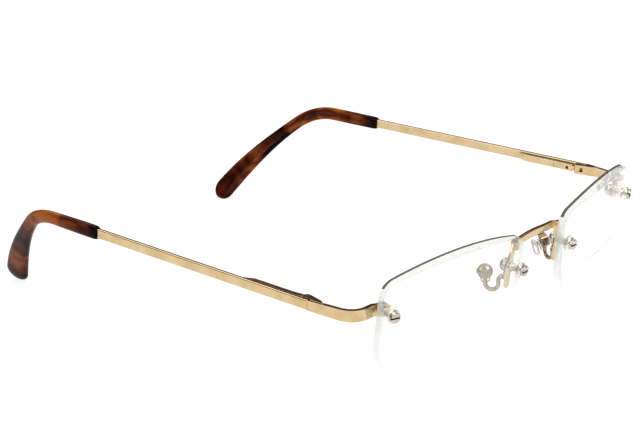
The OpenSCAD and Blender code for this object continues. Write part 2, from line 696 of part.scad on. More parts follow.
// Endpiece: lug, bent strap that grows towards the lens, and the two outer knuckles
module strap_plan() polygon(concat(
    [[leg_start, leg_y - strap_t / 2]],
    [for (i = [0:bend_steps]) let (a = bend_turn * i / bend_steps)
        [bend_x, leg_y + bend_r] + (bend_r + strap_t / 2) * [sin(a), -cos(a)]],
    [[strap_end, 0], [-strap_end, 0]],
    [for (i = [bend_steps:-1:0]) let (a = bend_turn * i / bend_steps)
        [bend_x, leg_y + bend_r] + (bend_r - strap_t / 2) * [sin(a), -cos(a)]],
    [[leg_start, leg_y + strap_t / 2]]));
leg_z = lug_side[2] * 0.62;
module strap_profile() polygon([
    [leg_y - strap_t, leg_z - strap_h / 2], [leg_y + strap_t, leg_z - strap_h / 2],
    [0, -temple_h / 2], [0, temple_h / 2],
    [leg_y + strap_t, leg_z + strap_h / 2], [leg_y - strap_t, leg_z + strap_h / 2]]);
knuckle_reach = 4;
flex_room = 0.28;
recess_deep = 0.5;
module knuckle_plan() {
    translate([-pin_in, pin_back]) circle(d = knuckle_d, $fn = round_fn);
    polygon([
        [-knuckle_reach * tan(flare), -knuckle_reach],
        [-pin_in, -knuckle_reach * 0.6],
        [-pin_in - knuckle_d / 2, pin_back],
        [-pin_in + knuckle_d / 2, pin_back],
        [-pin_in + knuckle_d / 2 - flex_room, 0],
        [-strap_t / 4, 0]]);
}
// Side view of the knuckle block: its top and bottom run along the strap's, a little proud
function strap_edge(y, side) = side * temple_h / 2
    + (leg_z + side * strap_h / 2 - side * temple_h / 2) * y / (leg_y + strap_t);
knuckle_proud = (stack_h - temple_h) / 2;
module knuckle_profile() polygon([
    [-knuckle_reach, strap_edge(-knuckle_reach, -1) - knuckle_proud], [0, -stack_h / 2],
    [pin_back + knuckle_d, -stack_h / 2], [pin_back + knuckle_d, stack_h / 2],
    [0, stack_h / 2], [-knuckle_reach, strap_edge(-knuckle_reach, 1) + knuckle_proud]]);
module along_x(half) rotate([90, 0, 90]) translate([0, 0, -half]) linear_extrude(2 * half)
    children();
module at_pin() translate([-pin_in, pin_back, 0]) children();
module endpiece() color(gold) difference() {
    union() {
        on_side() intersection() {
            translate([0, 0, -strap_h]) linear_extrude(2 * strap_h) strap_plan();
            along_x(2 * end_out) strap_profile();
        }
        on_side() intersection() {
            translate([0, 0, -stack_h]) linear_extrude(2 * stack_h) knuckle_plan();
            along_x(2 * end_out) knuckle_profile();
        }
        hull() {
            on_site(ear_site) bar_y(2 * lug_r, lug_front(ear_site), lug_front(ear_site) + lug_t);
            on_side() translate([leg_start, leg_y - strap_t / 2, leg_z - strap_h / 2])
                cube([seat_gap, strap_t, strap_h]);
        }
    }
    on_site(ear_site) bar_y(screw_hole_d, 0, nut_seat(ear_site) + 2 * cut);
    on_site(ear_site) bar_y(nut_d + 0.3, lug_front(ear_site) + lug_t, nut_seat(ear_site) + nut_h);
    on_side() at_pin() {
        translate([-knuckle_d, -recess_l - pin_back, -eye_h / 2 - swing_gap])
            cube([knuckle_d + recess_deep, recess_l + pin_back, eye_h + 2 * swing_gap]);
        translate([0, 0, -eye_h / 2 - swing_gap])
            cylinder(h = eye_h + 2 * swing_gap, d = knuckle_d + 4 * swing_gap, $fn = round_fn);
        translate([0, 0, -stack_h]) cylinder(h = 2 * stack_h, d = pin_d + 2 * pin_fit,
            $fn = small_fn);
        translate([0, 0, stack_h / 2 - sink_h])
            cylinder(h = stack_h, d = sink_d + 2 * pin_fit, $fn = small_fn);
    }
}
module hinge_screw() color(silver) on_side() at_pin() difference() {
    union() {
        translate([0, 0, -stack_h / 2]) cylinder(h = stack_h - sink_h, d = pin_d,
            $fn = small_fn);
        translate([0, 0, stack_h / 2 - sink_h + seat_gap])
            cylinder(h = sink_h - 2 * seat_gap, d = sink_d, $fn = small_fn);
        translate([0, 0, stack_h / 2 - sink_h - seat_gap])
            cylinder(h = 3 * seat_gap, d = pin_d, $fn = small_fn);
    }
    translate([-sink_d, -0.15, stack_h / 2 - sink_h * 0.6]) cube([2 * sink_d, 0.3, sink_h]);
}

// Slider: the middle knuckle, a neck, a round guide and a rod with a foot
neck_w = case_bore * 0.6;
neck_h = case_bore * 0.7;
guide_d = case_bore - 2 * slide_fit;
guide_start = case_start + fork_l + 0.2;
neck_end = guide_start + 0.6;
module on_bore() on_side() translate([-bore_in, 0, 0]) children();
module hinge_slider() color(gold) difference() {
    union() {
        on_side() at_pin() translate([0, 0, -eye_h / 2]) cylinder(h = eye_h,
            d = knuckle_d - 0.1, $fn = round_fn);
        on_bore() {
            translate([-neck_w / 2, pin_back, -neck_h / 2])
                cube([neck_w, neck_end - pin_back, neck_h]);
            bar_y(guide_d, guide_start, guide_end);
            bar_y(rod_d, guide_end - cut, foot_y + foot_t);
            bar_y(foot_d, foot_y, foot_y + foot_t);
        }
    }
    on_side() at_pin() translate([0, 0, -stack_h]) cylinder(h = 2 * stack_h,
        d = pin_d + 2 * pin_fit, $fn = small_fn);
}
module stop_bush() color(silver) on_bore() difference() {
    bar_y(case_bore - 2 * seat_gap, bush_start, bush_end);
    bar_y(rod_d + 2 * slide_fit, bush_start - cut, bush_end + cut);
    translate([0, stop_at, 0]) rotate([0, -90, 0]) translate([0, 0, case_bore / 2 - pin_sink])
        cylinder(h = case_bore, d = stop_pin_d + 2 * pin_fit, $fn = small_fn);
}
module stop_pin() color(silver) on_bore() translate([0, stop_at, 0]) rotate([0, -90, 0])
    translate([0, 0, case_bore / 2 - pin_sink + seat_gap])
    cylinder(h = pin_sink + case_wall, d = stop_pin_d, $fn = small_fn);
// Housing: a block with rounded inner edges and a slanted rear end, brazed to the bar.
// A collar at its front end is as deep as the knuckles
case_round = case_half * 0.9;
collar_flat = 0.9;
module case_plan() polygon([
    [-temple_t / 2, case_start], [-temple_t / 2, case_end],
    [-temple_t / 2 - 0.4, case_end], [-case_in, case_end - case_slant],
    [-case_in, case_start + 0.4], [-case_in + 0.4, case_start]]);
module collar_plan() polygon([
    [-temple_t / 2, case_start], [-temple_t / 2, case_start + collar_l],
    [-case_in, case_start + collar_l], [-case_in - collar, case_start + collar_flat],
    [-case_in - collar, case_start + 0.4], [-case_in - collar + 0.4, case_start]]);
module case_section(reach) {
    flat = reach - temple_t / 2 - case_round;
    translate([-temple_t / 2 - flat, -case_half]) square([flat, 2 * case_half]);
    translate([-reach, case_round - case_half])
        square([case_round + cut / 10, 2 * (case_half - case_round)]);
    for (z = [-1, 1]) translate([-reach + case_round, z * (case_half - case_round)])
        circle(case_round, $fn = small_fn);
}
module spring_housing() color(gold) on_side() difference() {
    union() {
        intersection() {
            translate([0, 0, -stack_h]) linear_extrude(2 * stack_h) case_plan();
            plate_y(case_start - cut, case_end + cut) case_section(case_in);
        }
        intersection() {
            translate([0, 0, -stack_h]) linear_extrude(2 * stack_h) collar_plan();
            plate_y(case_start - cut, case_end + cut) case_section(case_in + collar);
        }
    }
    translate([-bore_in, 0, 0]) bar_y(case_bore, case_start - cut, bore_end, round_fn);
    translate([-case_in - collar - cut, case_start - cut, -neck_h / 2])
        cube([collar + case_wall + case_bore / 4 + cut, fork_l + cut, neck_h]);
    translate([-bore_in, stop_at, 0]) rotate([0, -90, 0])
        cylinder(h = case_in, d = stop_pin_d + 2 * pin_fit, $fn = small_fn);
}
// Coil spring: one unbroken tube of six sides
spring_sides = 6;
curl_steps = 8;
spring_pitch = (spring_stop - spring_start) / spring_turns;
function coil_point(t) = [-bore_in + spring_r * cos(360 * t), spring_start + spring_pitch * t,
    spring_r * sin(360 * t)];
function coil_along(t) = unit(coil_point(t + 0.01) - coil_point(t - 0.01));
function coil_ring(t) = let (
    radial = [cos(360 * t), 0, sin(360 * t)],
    along = coil_along(t),
    side = cross(along, radial))
    [for (i = [0:spring_sides - 1]) let (a = 360 * i / spring_sides)
        coil_point(t) + spring_wire / 2 * (cos(a) * radial + sin(a) * side)];
spring_gap = spring_pitch - spring_wire;
echo(least_gap_between_spring_turns = spring_gap);
module hinge_spring() color(silver) on_side()
    skin([for (k = [0:spring_turns * curl_steps]) coil_ring(k / curl_steps)]);

// Temple: a flat bar with rounded edges and the round core wire inside the tip
core_steps = 26;
mouth_gap = 0.05;
module temple_section() {
    w = temple_t / 2 - edge_r;
    h = temple_h / 2 - edge_r;
    square([2 * w, temple_h], center = true);
    square([temple_t, 2 * h], center = true);
    for (x = [-w, w], z = [-h, h]) translate([x, z]) circle(edge_r, $fn = small_fn);
}
module temple() color(gold) on_side() {
    plate_y(joint_gap, bare_l) temple_section();
    skin([for (k = [0:core_steps]) wire_ring(core_l * k / core_steps - 0.3, core_d / 2)]);
}
// Tip: a loft that widens into a paddle behind the ear
tip_steps = 40;
module temple_tip() color(tortoise) on_side() difference() {
    skin([for (k = [0:tip_steps]) let (t = k / tip_steps,
        s = mouth_gap + (tip_whole - mouth_gap) * (t + 0.35 * sin(360 * t) / 6.283 * -1))
        tip_ring(s)]);
    skin([for (k = [0:core_steps + 1]) wire_ring(core_l * k / core_steps - 0.3,
        core_d / 2 + slide_fit)]);
}

// Places that the record states
echo(joint_at = joint_at);
echo(hinge_at = from_side([-pin_in, pin_back, 0]));
echo(hinge_axis = turn_z(toe_in, turn_x(rise, [0, 0, 1])));
echo(temple_axis = turn_z(toe_in, turn_x(rise, [0, 1, 0])));
echo(bar_face = from_side([temple_t / 2, bare_l / 2, 0]));
echo(bar_normal = turn_z(toe_in, [1, 0, 0]));
echo(pad_at = pad_at);
echo(pad_axis = turn_z(pad_turn, [0, 1, 0]));
echo(tip_end = from_side(tip_point(tip_whole)));
echo(nut_at = site_point(nasal_site, [0, nut_seat(nasal_site), 0]));
echo(head_at = site_point(nasal_site, [0, -cup_face(nasal_site) - head_h, 0]));

// The whole part stands so that its middle in Y is at the origin
front_y = min([for (s = [nasal_site, ear_site])
    site_point(s, [0, -cup_face(s) - seat_gap - head_h, head_d / 2])[1]]);
back_y = max([for (k = [0:0.1:end_l]) from_side(tip_point(tip_whole - k)
    + tip_height(tip_whole - k) / 2 * end_share(tip_whole - k) * tip_wide(tip_whole - k))[1]]);
centre_y = (front_y + back_y) / 2;
echo(centre_y = centre_y);
module stand() translate([0, -centre_y, 0]) children();

stand() right_of() lens();  // lens_right
stand() lens();  // lens_left
stand() bridge();
stand() lens_screws();
stand() screw_washers();
stand() front_washers();
stand() lens_bushings();
stand() rear_washers();
stand() lens_nuts();
stand() right_of() pad_arm();  // pad_arm_right
stand() pad_arm();  // pad_arm_left
stand() right_of() pad_tang();  // pad_tang_right
stand() pad_tang();  // pad_tang_left
stand() right_of() nose_pad();  // nose_pad_right
stand() nose_pad();  // nose_pad_left
stand() right_of() pad_screw();  // pad_screw_right
stand() pad_screw();  // pad_screw_left
stand() right_of() endpiece();  // endpiece_right
stand() endpiece();  // endpiece_left
stand() right_of() hinge_screw();  // hinge_screw_right
stand() hinge_screw();  // hinge_screw_left
stand() right_of() hinge_slider();  // hinge_slider_right
stand() hinge_slider();  // hinge_slider_left
stand() right_of() stop_bush();  // stop_bush_right
stand() stop_bush();  // stop_bush_left
stand() right_of() stop_pin();  // stop_pin_right
stand() stop_pin();  // stop_pin_left
stand() right_of() hinge_spring();  // hinge_spring_right
stand() hinge_spring();  // hinge_spring_left
stand() right_of() spring_housing();  // spring_housing_right
stand() spring_housing();  // spring_housing_left
stand() right_of() temple();  // temple_right
stand() temple();  // temple_left
stand() right_of() temple_tip();  // temple_tip_right
stand() temple_tip();  // temple_tip_left
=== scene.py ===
# %% [markdown]
# # Rimless bifocal reading glasses
# Two drilled lenses with a reading segment, joined by a gold bridge and carried by two
# spring-hinged temples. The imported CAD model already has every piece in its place. This script
# gives each piece its finish and remakes the ones where CAD facets would show: lenses, tips,
# nose pads, lens screws with their washers and nuts, bridge, spring housings and the wires in
# the pads. The domes of the pad boxes are new.

from math import acos, asin, copysign, cos, degrees, pi, radians, sin, sqrt, tan

import bmesh
import bpy
from mathutils import Matrix, Vector
from mathutils.geometry import delaunay_2d_cdt


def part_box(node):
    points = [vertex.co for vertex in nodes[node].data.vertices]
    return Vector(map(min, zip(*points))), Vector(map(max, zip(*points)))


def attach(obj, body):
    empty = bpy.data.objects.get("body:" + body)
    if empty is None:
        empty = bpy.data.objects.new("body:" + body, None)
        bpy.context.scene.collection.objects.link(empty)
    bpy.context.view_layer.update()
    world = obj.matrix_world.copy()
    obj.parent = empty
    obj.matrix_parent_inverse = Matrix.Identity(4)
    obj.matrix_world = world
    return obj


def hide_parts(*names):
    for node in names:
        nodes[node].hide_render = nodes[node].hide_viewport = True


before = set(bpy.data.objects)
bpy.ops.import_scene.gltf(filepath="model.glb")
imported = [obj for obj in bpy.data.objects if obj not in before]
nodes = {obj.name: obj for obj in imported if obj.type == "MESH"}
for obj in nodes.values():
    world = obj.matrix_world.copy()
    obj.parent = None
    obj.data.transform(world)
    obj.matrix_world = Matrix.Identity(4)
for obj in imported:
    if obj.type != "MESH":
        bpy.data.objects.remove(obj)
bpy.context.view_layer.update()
scene = bpy.context.scene
link_object = scene.collection.objects.link
MM = 0.001
SIDES = {"left": 1, "right": -1}
CAD_BACK = 73.3042
MIRROR = Matrix.Scale(-1, 4, (1, 0, 0))
UP = Vector((0, 0, 1))
print("CAD nodes:", len(nodes))

# %% [markdown]
# ## Camera
# The photograph was taken from the wearer's right, a little above the frame. A camera is a place,
# a direction and a focal length. Here it is turned by azimuth and lift round a point inside the
# frame, then rolled a little, which is easier to adjust than three Euler angles.

# %% Camera
CAMERA_AZIMUTH = radians(-53.89)
CAMERA_LIFT = radians(17.4)
CAMERA_ROLL = radians(-1.28)
CAMERA_DISTANCE = 501 * MM
FOCAL_LENGTH = 114.85
SENSOR_WIDTH = 36
CLIP_START = 0.01
LOOK_AT = Vector((-42.1, -31.41, 35.0)) * MM


def camera_matrix():
    """World matrix of a camera that looks at its target from azimuth and lift."""
    back = Vector((
        sin(CAMERA_AZIMUTH) * cos(CAMERA_LIFT),
        -cos(CAMERA_AZIMUTH) * cos(CAMERA_LIFT),
        sin(CAMERA_LIFT),
    ))
    right = Vector((cos(CAMERA_AZIMUTH), sin(CAMERA_AZIMUTH), 0))
    turned = cos(CAMERA_ROLL) * right + sin(CAMERA_ROLL) * back.cross(right)
    place = LOOK_AT + back * CAMERA_DISTANCE
    return Matrix([*zip(turned, back.cross(turned), back, place), (0, 0, 0, 1)])


camera_data = bpy.data.cameras.new("camera")
camera_data.lens = FOCAL_LENGTH
camera_data.sensor_width = SENSOR_WIDTH
camera_data.clip_start = CLIP_START
camera = bpy.data.objects.new("camera", camera_data)
camera.matrix_world = camera_matrix()
link_object(camera)
scene.camera = camera
print("camera at", [round(x, 3) for x in camera.location])

# %% [markdown]
# ## Node helpers
# Every finish below is a small node tree. These helpers make a material, and add a node with its
# settings and sockets, so that each finish reads as a list of its own steps.


# %% Node helpers
def new_material(name):
    """A material with an empty tree."""
    material = bpy.data.materials.new(name)
    material.use_nodes = True
    material.node_tree.nodes.clear()
    return material, material.node_tree


def add_node(tree, kind, sockets=None, **settings):
    """Adds a node. Each socket gets a plain value or a link from an output."""
    node = tree.nodes.new(kind)
    for name, value in settings.items():
        setattr(node, name, value)
    for key, value in (sockets or {}).items():
        if isinstance(value, bpy.types.NodeSocket):
            tree.links.new(value, node.inputs[key])
        else:
            node.inputs[key].default_value = value
    return node


def feed(tree, kind, sockets=None, **settings):
    """Adds a node and returns its first output."""
    return add_node(tree, kind, sockets, **settings).outputs[0]


def mix_shaders(tree, share, first, second):
    """Mixes two shaders by the share of the second."""
    return feed(tree, "ShaderNodeMixShader", {0: share, 1: first, 2: second})


def mix_colours(tree, share, first, second):
    """Mixes two colours by the share of the second."""
    sockets = {0: share, 6: first, 7: second}
    return add_node(tree, "ShaderNodeMix", sockets, data_type="RGBA").outputs[2]


def either(tree, first, second):
    """1 where at least one of two ray flags is set."""
    return feed(tree, "ShaderNodeMath", {0: first, 1: second}, operation="MAXIMUM")


def light_path(tree):
    """Outputs that tell the kinds of rays."""
    return add_node(tree, "ShaderNodeLightPath").outputs


def ramp(tree, stops, source, smooth=True):
    """Colour of a ramp with (position, colour) stops, fed by source."""
    node = add_node(tree, "ShaderNodeValToRGB", {"Fac": source})
    node.color_ramp.interpolation = "EASE" if smooth else "LINEAR"
    elements = node.color_ramp.elements
    while len(elements) < len(stops):
        elements.new(0.5)
    for element, (position, colour) in zip(elements, stops):
        element.position = position
        element.color = (*colour, 1)
    return node.outputs["Color"]


def shown(material, shader):
    """The material with the shader on its surface."""
    add_node(material.node_tree, "ShaderNodeOutputMaterial", {"Surface": shader})
    return material


print("node helpers ready")

# %% [markdown]
# ## Floor, world and lamps
# The product stands on a white table with a faint soft shadow. The floor is a diffuse surface
# that also glows a little for the camera, so that it reads as white without more light on the
# object. The world is white to the camera and through glass. For the rest it is a studio with a
# wide soft box overhead and dark walls, because polished metal shows what stands round it: the
# upper faces mirror the dark walls, the rounded edges catch the soft box.

# %% Floor
FLOOR_SIZE = 6.0
FLOOR_GLOW = 0.8
FLOOR_WHITE = (0.9, 0.9, 0.9, 1)
FLOOR_WEAK = (0.32, 0.32, 0.32, 1)


def make_floor():
    """A large white floor under the object that keeps its shadow."""
    mesh = bpy.data.meshes.new("floor")
    half = FLOOR_SIZE / 2
    corners = [(-half, -half, 0), (half, -half, 0), (half, half, 0), (-half, half, 0)]
    mesh.from_pydata(corners, [], [(0, 1, 2, 3)])
    table = bpy.data.objects.new("floor", mesh)
    link_object(table)
    material, tree = new_material("white table")
    catch = feed(tree, "ShaderNodeBsdfDiffuse", {"Color": FLOOR_WHITE})
    weak = feed(tree, "ShaderNodeBsdfDiffuse", {"Color": FLOOR_WEAK})
    glow = feed(tree, "ShaderNodeEmission", {"Strength": FLOOR_GLOW})
    bright = feed(tree, "ShaderNodeAddShader", {0: weak, 1: glow})
    rays = light_path(tree)
    seen = either(tree, rays["Is Camera Ray"], rays["Is Glossy Ray"])
    through = either(tree, seen, rays["Is Transmission Ray"])
    mesh.materials.append(shown(material, mix_shaders(tree, through, catch, bright)))


make_floor()
print("floor", FLOOR_SIZE, "m wide")

# %% World
SKY_LIGHT = 0.9
SKY_STOPS = [
    (0.0, (0.16, 0.11, 0.085)),
    (0.46, (0.08, 0.05, 0.04)),
    (0.62, (0.5, 0.49, 0.47)),
    (0.82, (1.25, 1.23, 1.2)),
]


def make_world():
    """White for the camera and through glass, soft box and dark walls for the rest."""
    world = bpy.data.worlds.new("studio")
    world.use_nodes = True
    tree = world.node_tree
    tree.nodes.clear()
    around = add_node(tree, "ShaderNodeTexCoord").outputs["Generated"]
    height = add_node(tree, "ShaderNodeSeparateXYZ", {0: around}).outputs["Z"]
    studio = ramp(tree, SKY_STOPS, height)
    light = feed(tree, "ShaderNodeBackground", {"Color": studio, "Strength": SKY_LIGHT})
    white = feed(tree, "ShaderNodeBackground", {"Color": (1, 1, 1, 1), "Strength": 1.0})
    rays = light_path(tree)
    through = either(tree, rays["Is Camera Ray"], rays["Is Transmission Ray"])
    both = mix_shaders(tree, through, light, white)
    add_node(tree, "ShaderNodeOutputWorld", {"Surface": both})
    scene.world = world


make_world()
print("world light", SKY_LIGHT)

# %% Lamps
LAMPS = {
    "key": ((-0.35, -0.75, 0.85), 0.55, 5.0),
    "fill": ((-0.95, 0.25, 0.55), 0.6, 2.5),
    "back": ((0.35, 0.75, 1.0), 0.5, 2.0),
}
LAMP_TARGET = Vector((0, 0, 0.015))


def add_lamp(name, place, size, power):
    """A square area lamp that faces the object's middle."""
    data = bpy.data.lights.new(name, "AREA")
    data.shape = "SQUARE"
    data.size = size
    data.energy = power
    lamp = bpy.data.objects.new(name, data)
    link_object(lamp)
    lamp.location = place
    lamp.rotation_euler = (LAMP_TARGET - Vector(place)).to_track_quat("-Z", "Y").to_euler()


for lamp_name, settings in LAMPS.items():
    add_lamp(lamp_name, *settings)
scene.view_settings.view_transform = "Standard"
print("lamps:", ", ".join(LAMPS))

# %% [markdown]
# ## Finishes
# Polished metal is almost all reflection, so its look comes from a low roughness that wanders a
# little, fine bumps and a tint that gets redder where the plating is thin. Steel is the same
# recipe with a grey tint. Clear plastics let shadow rays through, so their shadow is faint.


# %% Metals
COARSE_NOISE = (220, 4)
FINE_NOISE = (2600, 5)
ROUGH_RANGE = (0.7, 1.4)
METAL_BUMP = 0.35
# Painted shade for the inside of the screw slots.
SLOT_SHADE_BLACK = (0.012, 0.011, 0.01, 1)


def object_place(tree):
    """The piece's own coordinates."""
    return add_node(tree, "ShaderNodeTexCoord").outputs["Object"]


def noise(tree, source, scale, detail, output="Fac"):
    """A noise texture, with its scale in cycles per metre where the source is a place."""
    sockets = {"Vector": source, "Scale": scale, "Detail": detail}
    return add_node(tree, "ShaderNodeTexNoise", sockets).outputs[output]


def bump(tree, height, strength, distance):
    """A normal bent by a height."""
    sockets = {"Height": height, "Strength": strength, "Distance": distance}
    return feed(tree, "ShaderNodeBump", sockets)


def polished_metal(name, tint, worn_tint, roughness, bump_height, recess=False):
    """Plated metal: tint, roughness and bump wander with noise. Marked slot faces are painted black
    as shade.
    """
    material, tree = new_material(name)
    place = object_place(tree)
    stops = [(0.35, tint), (0.75, worn_tint)]
    colour = ramp(tree, stops, noise(tree, place, *COARSE_NOISE))
    fine = noise(tree, place, *FINE_NOISE)
    low, high = (roughness * share for share in ROUGH_RANGE)
    if recess:
        mark = add_node(tree, "ShaderNodeAttribute", attribute_name="recess").outputs["Fac"]
        colour = mix_colours(tree, mark, colour, SLOT_SHADE_BLACK)
    return shown(material, feed(tree, "ShaderNodeBsdfPrincipled", {
        "Base Color": colour,
        "Metallic": 1.0,
        "Roughness": feed(tree, "ShaderNodeMapRange", {"Value": fine, "To Min": low, "To Max": high}),
        "Normal": bump(tree, fine, METAL_BUMP, bump_height),
    }))


gold = polished_metal("pale gold", (0.68, 0.52, 0.3), (0.58, 0.42, 0.22), 0.13, 0.003 * MM)
steel = polished_metal("turned steel", (0.62, 0.6, 0.56), (0.5, 0.48, 0.44), 0.2, 0.004 * MM)
steel_with_painted_slot = polished_metal(
    "steel with painted slot shade", (0.6, 0.57, 0.51), (0.46, 0.42, 0.36), 0.2, 0.006 * MM, recess=True
)
washer_cream = polished_metal(
    "cream washer", (0.82, 0.76, 0.64), (0.74, 0.67, 0.55), 0.25, 0.004 * MM
)
# Painted shade: the pad arms and the pad box domes get a gold far darker than the frame's, standing
# in for the dark they mirror.
shade_darkened_gold = polished_metal("gold darkened as painted shade", (0.34, 0.27, 0.17), (0.2, 0.15, 0.09), 0.08, 0.003 * MM)
print("metals:", ", ".join(m.name for m in (gold, steel, steel_with_painted_slot, washer_cream, shade_darkened_gold)))

# %% Clear and frosted plastics
SHADOW_TINT = (0.93, 0.94, 0.94, 1)
THROUGH_TINT = (0.96, 0.98, 0.97, 1)
COAT_ROUGHNESS = 0.02
CLEAR_NOISE = (500, 3)
GROUND_NOISE = (1500, 4)
GROUND_BUMP = 0.01 * MM
GROUND_ROUGHNESS = 0.45
LENS_COAT_BEND = 1.7


def clouded(tree, grain, tint, fade, bump_height):
    """Shader links: a tint that fades with noise and a bump from the same noise."""
    waves = noise(tree, object_place(tree), *grain)
    stops = [(0.3, tint), (0.8, tuple(fade * part for part in tint))]
    return {"Base Color": ramp(tree, stops, waves), "Normal": bump(tree, waves, 0.3, bump_height)}


def clear_plastic(name, tint, roughness, bump_height, bend, gloss, coat_bend=1.5):
    """Clear plastic: a light tint, slight waviness, a bend of the light and a glossy coat."""
    material, tree = new_material(name)
    shader = feed(tree, "ShaderNodeBsdfPrincipled", {
        **clouded(tree, CLEAR_NOISE, tint, 0.93, bump_height),
        "Roughness": roughness,
        "IOR": bend,
        "Transmission Weight": 1.0,
        "Coat Weight": gloss,
        "Coat Roughness": COAT_ROUGHNESS,
        "Coat IOR": coat_bend,
    })
    shadow = feed(tree, "ShaderNodeBsdfTransparent", {"Color": SHADOW_TINT})
    ray = light_path(tree)["Is Shadow Ray"]
    return shown(material, mix_shaders(tree, ray, shader, shadow))


def frosted_plastic(name, tint, clear_share):
    """Ground lens plastic: white scatter, partly seen through, with fine cutter marks."""
    material, tree = new_material(name)
    look = clouded(tree, GROUND_NOISE, tint, 0.9, GROUND_BUMP)
    ground = feed(tree, "ShaderNodeBsdfPrincipled", {**look, "Roughness": GROUND_ROUGHNESS})
    scatter = feed(tree, "ShaderNodeBsdfTranslucent", {"Color": look["Base Color"]})
    solid = mix_shaders(tree, 0.5, ground, scatter)
    through = feed(tree, "ShaderNodeBsdfTransparent", {"Color": THROUGH_TINT})
    return shown(material, mix_shaders(tree, clear_share, solid, through))


washer_plastic = clear_plastic("clear washer", (0.95, 0.96, 0.94), 0.1, 0.01 * MM, 1.08, 0.5)
silicone = clear_plastic("clear silicone", (0.97, 0.975, 0.96), 0.08, 0.03 * MM, 1.06, 0.3)
lens_plastic = clear_plastic(
    "polished lens", (0.985, 0.995, 0.99), 0.0, 0.0, 1.02, 1.0, LENS_COAT_BEND
)
frosted_edge = frosted_plastic("ground lens edge", (0.9, 0.93, 0.9), 0.42)
# The front bevel is real ground plastic, and its darker grey-pink tint is a painted reflection of the
# edge.
front_bevel_painted_reflection = frosted_plastic("front bevel with painted reflection", (0.72, 0.67, 0.66), 0.6)
# Painted shade: the top of the rear bevel band is drawn nearly opaque dark brown, standing in for the
# dark line the clear bevel shows.
painted_rear_shade = frosted_plastic("painted rear shade line", (0.1, 0.065, 0.055), 0.05)
LENS_FINISHES = [lens_plastic, frosted_edge, front_bevel_painted_reflection, painted_rear_shade]
print("plastics:", ", ".join(m.name for m in (washer_plastic, silicone, *LENS_FINISHES)))

# %% Tortoise plastic
MOUTH_DARK = (0.03, 0.11)
CLOUD_STRETCH = (4.0, 1.1, 1)
CLOUD_SHIFT = (6.0, 3.1, 0)
TIP_ROUGHNESS = 0.06
TIP_BEND = 1.13


def tortoise_plastic(name, dark, brown, amber):
    """Mottled acetate: dark clouds in brown and amber that stretch along the tip."""
    material, tree = new_material(name)
    along = feed(tree, "ShaderNodeUVMap", uv_map="along")
    mapping = {"Vector": along, "Scale": CLOUD_STRETCH, "Location": CLOUD_SHIFT}
    place = feed(tree, "ShaderNodeMapping", mapping)
    bend = noise(tree, place, 1.0, 2, "Color")
    shifted = feed(tree, "ShaderNodeVectorMath", {0: place, 1: bend}, operation="ADD")
    clouds = noise(tree, shifted, 1.0, 2)
    mottled = ramp(tree, [(0.36, dark), (0.5, brown), (0.66, amber)], clouds, smooth=False)
    mouth = feed(tree, "ShaderNodeMapRange", {
        "Value": feed(tree, "ShaderNodeSeparateXYZ", {0: along}),
        "From Min": MOUTH_DARK[0],
        "From Max": MOUTH_DARK[1],
    })
    return shown(material, feed(tree, "ShaderNodeBsdfPrincipled", {
        "Base Color": mix_colours(tree, mouth, (*dark, 1), mottled),
        "Roughness": TIP_ROUGHNESS,
        "IOR": TIP_BEND,
        "Normal": bump(tree, clouds, 0.15, 0.02 * MM),
    }))


tortoise = tortoise_plastic(
    "tortoise", (0.005, 0.001, 0.001), (0.09, 0.014, 0.004), (0.34, 0.095, 0.016)
)
print("tip finish:", tortoise.name)

# %% Finish of the CAD nodes
FAMILIES = (
    (gold, ("bridge", "endpiece", "hinge_slider", "spring_housing", "temple")),
    (steel, ("lens_screws", "screw_washers", "lens_nuts", "pad_screw", "pad_tang",
             "hinge_screw", "stop_bush", "stop_pin", "hinge_spring")),
    (washer_plastic, ("front_washers", "lens_bushings", "rear_washers")),
    (shade_darkened_gold, ("pad_arm",)),
)
for node_name in nodes:
    base_name = node_name.removesuffix("_right").removesuffix("_left")
    slots = nodes[node_name].data.materials
    for material, family in FAMILIES:
        if base_name in family:
            slots.clear()
            slots.append(material)
print("finished nodes:", len(nodes))

# %% [markdown]
# ## Lenses
# A bifocal lens is a slab between two spherical surfaces. The front one carries a steeper patch,
# the reading segment, which ends in a straight ledge. A boolean of balls would give long thin
# triangles that bend the refraction, so each surface is triangulated here as a flat map of the
# lens and then lifted to its depth. The map is cut along the outline, the drilled holes and the
# edge of the segment, so the real edges are edges of the mesh.

# %% Lens sizes in millimetres
LENS_WIDTH = 51.0
LENS_HEIGHT = 30.4
LENS_THICKNESS = 4.0
FRONT_RADIUS = 90.0
REAR_RADIUS = 170.0
TOP_ARCH = 6.3
LOW_SAG = 1.3
NASAL_TAPER = 2.1
CORNER_RADII = (5.0, 0.0, 4.8, 11.6, 0.0, 18.0)
ARCH_SHARE = 0.42
ARC_SHARE = 0.985
LOW_ARC_SHARE = 0.55
ARC_STEP = 0.7
STRAIGHT_STEP = 0.8
LENS_WRAP = radians(9.7)
LENS_LEAN = radians(10)
SEGMENT_WIDTH = 28.0
SEGMENT_RISE = 4.8
SEGMENT_DROP = 3.9
SEGMENT_INSET = 0.6
READING_ADD = 2.0
LENS_INDEX = 1.5
HOLE_DIAMETER = 1.92
NASAL_SITE = (3.0 - LENS_WIDTH / 2, 3.8)
EAR_SITE = (LENS_WIDTH / 2 - 2.5, 4.2)
SITES = (NASAL_SITE, EAR_SITE)
EDGE_BEVEL = 0.2
# Width of the rear band, which carries the painted shade line along the top.
REAR_LINE = 0.75
TOP_SLOPE = 0.85
MAP_STEP = 0.9
ROW_SHARE = 0.87
CLEAR_SHARE = 0.55
WELD_LENGTH = 1e-4
MERGE_LENGTH = 0.25
HALVINGS = 40
HOLE_ROUNDS = 6
TINY = 1e-3
ALMOST_ZERO = 1e-9


def round_angles(count):
    """Angles of evenly spread points round a circle."""
    return [2 * pi * k / count for k in range(count)]


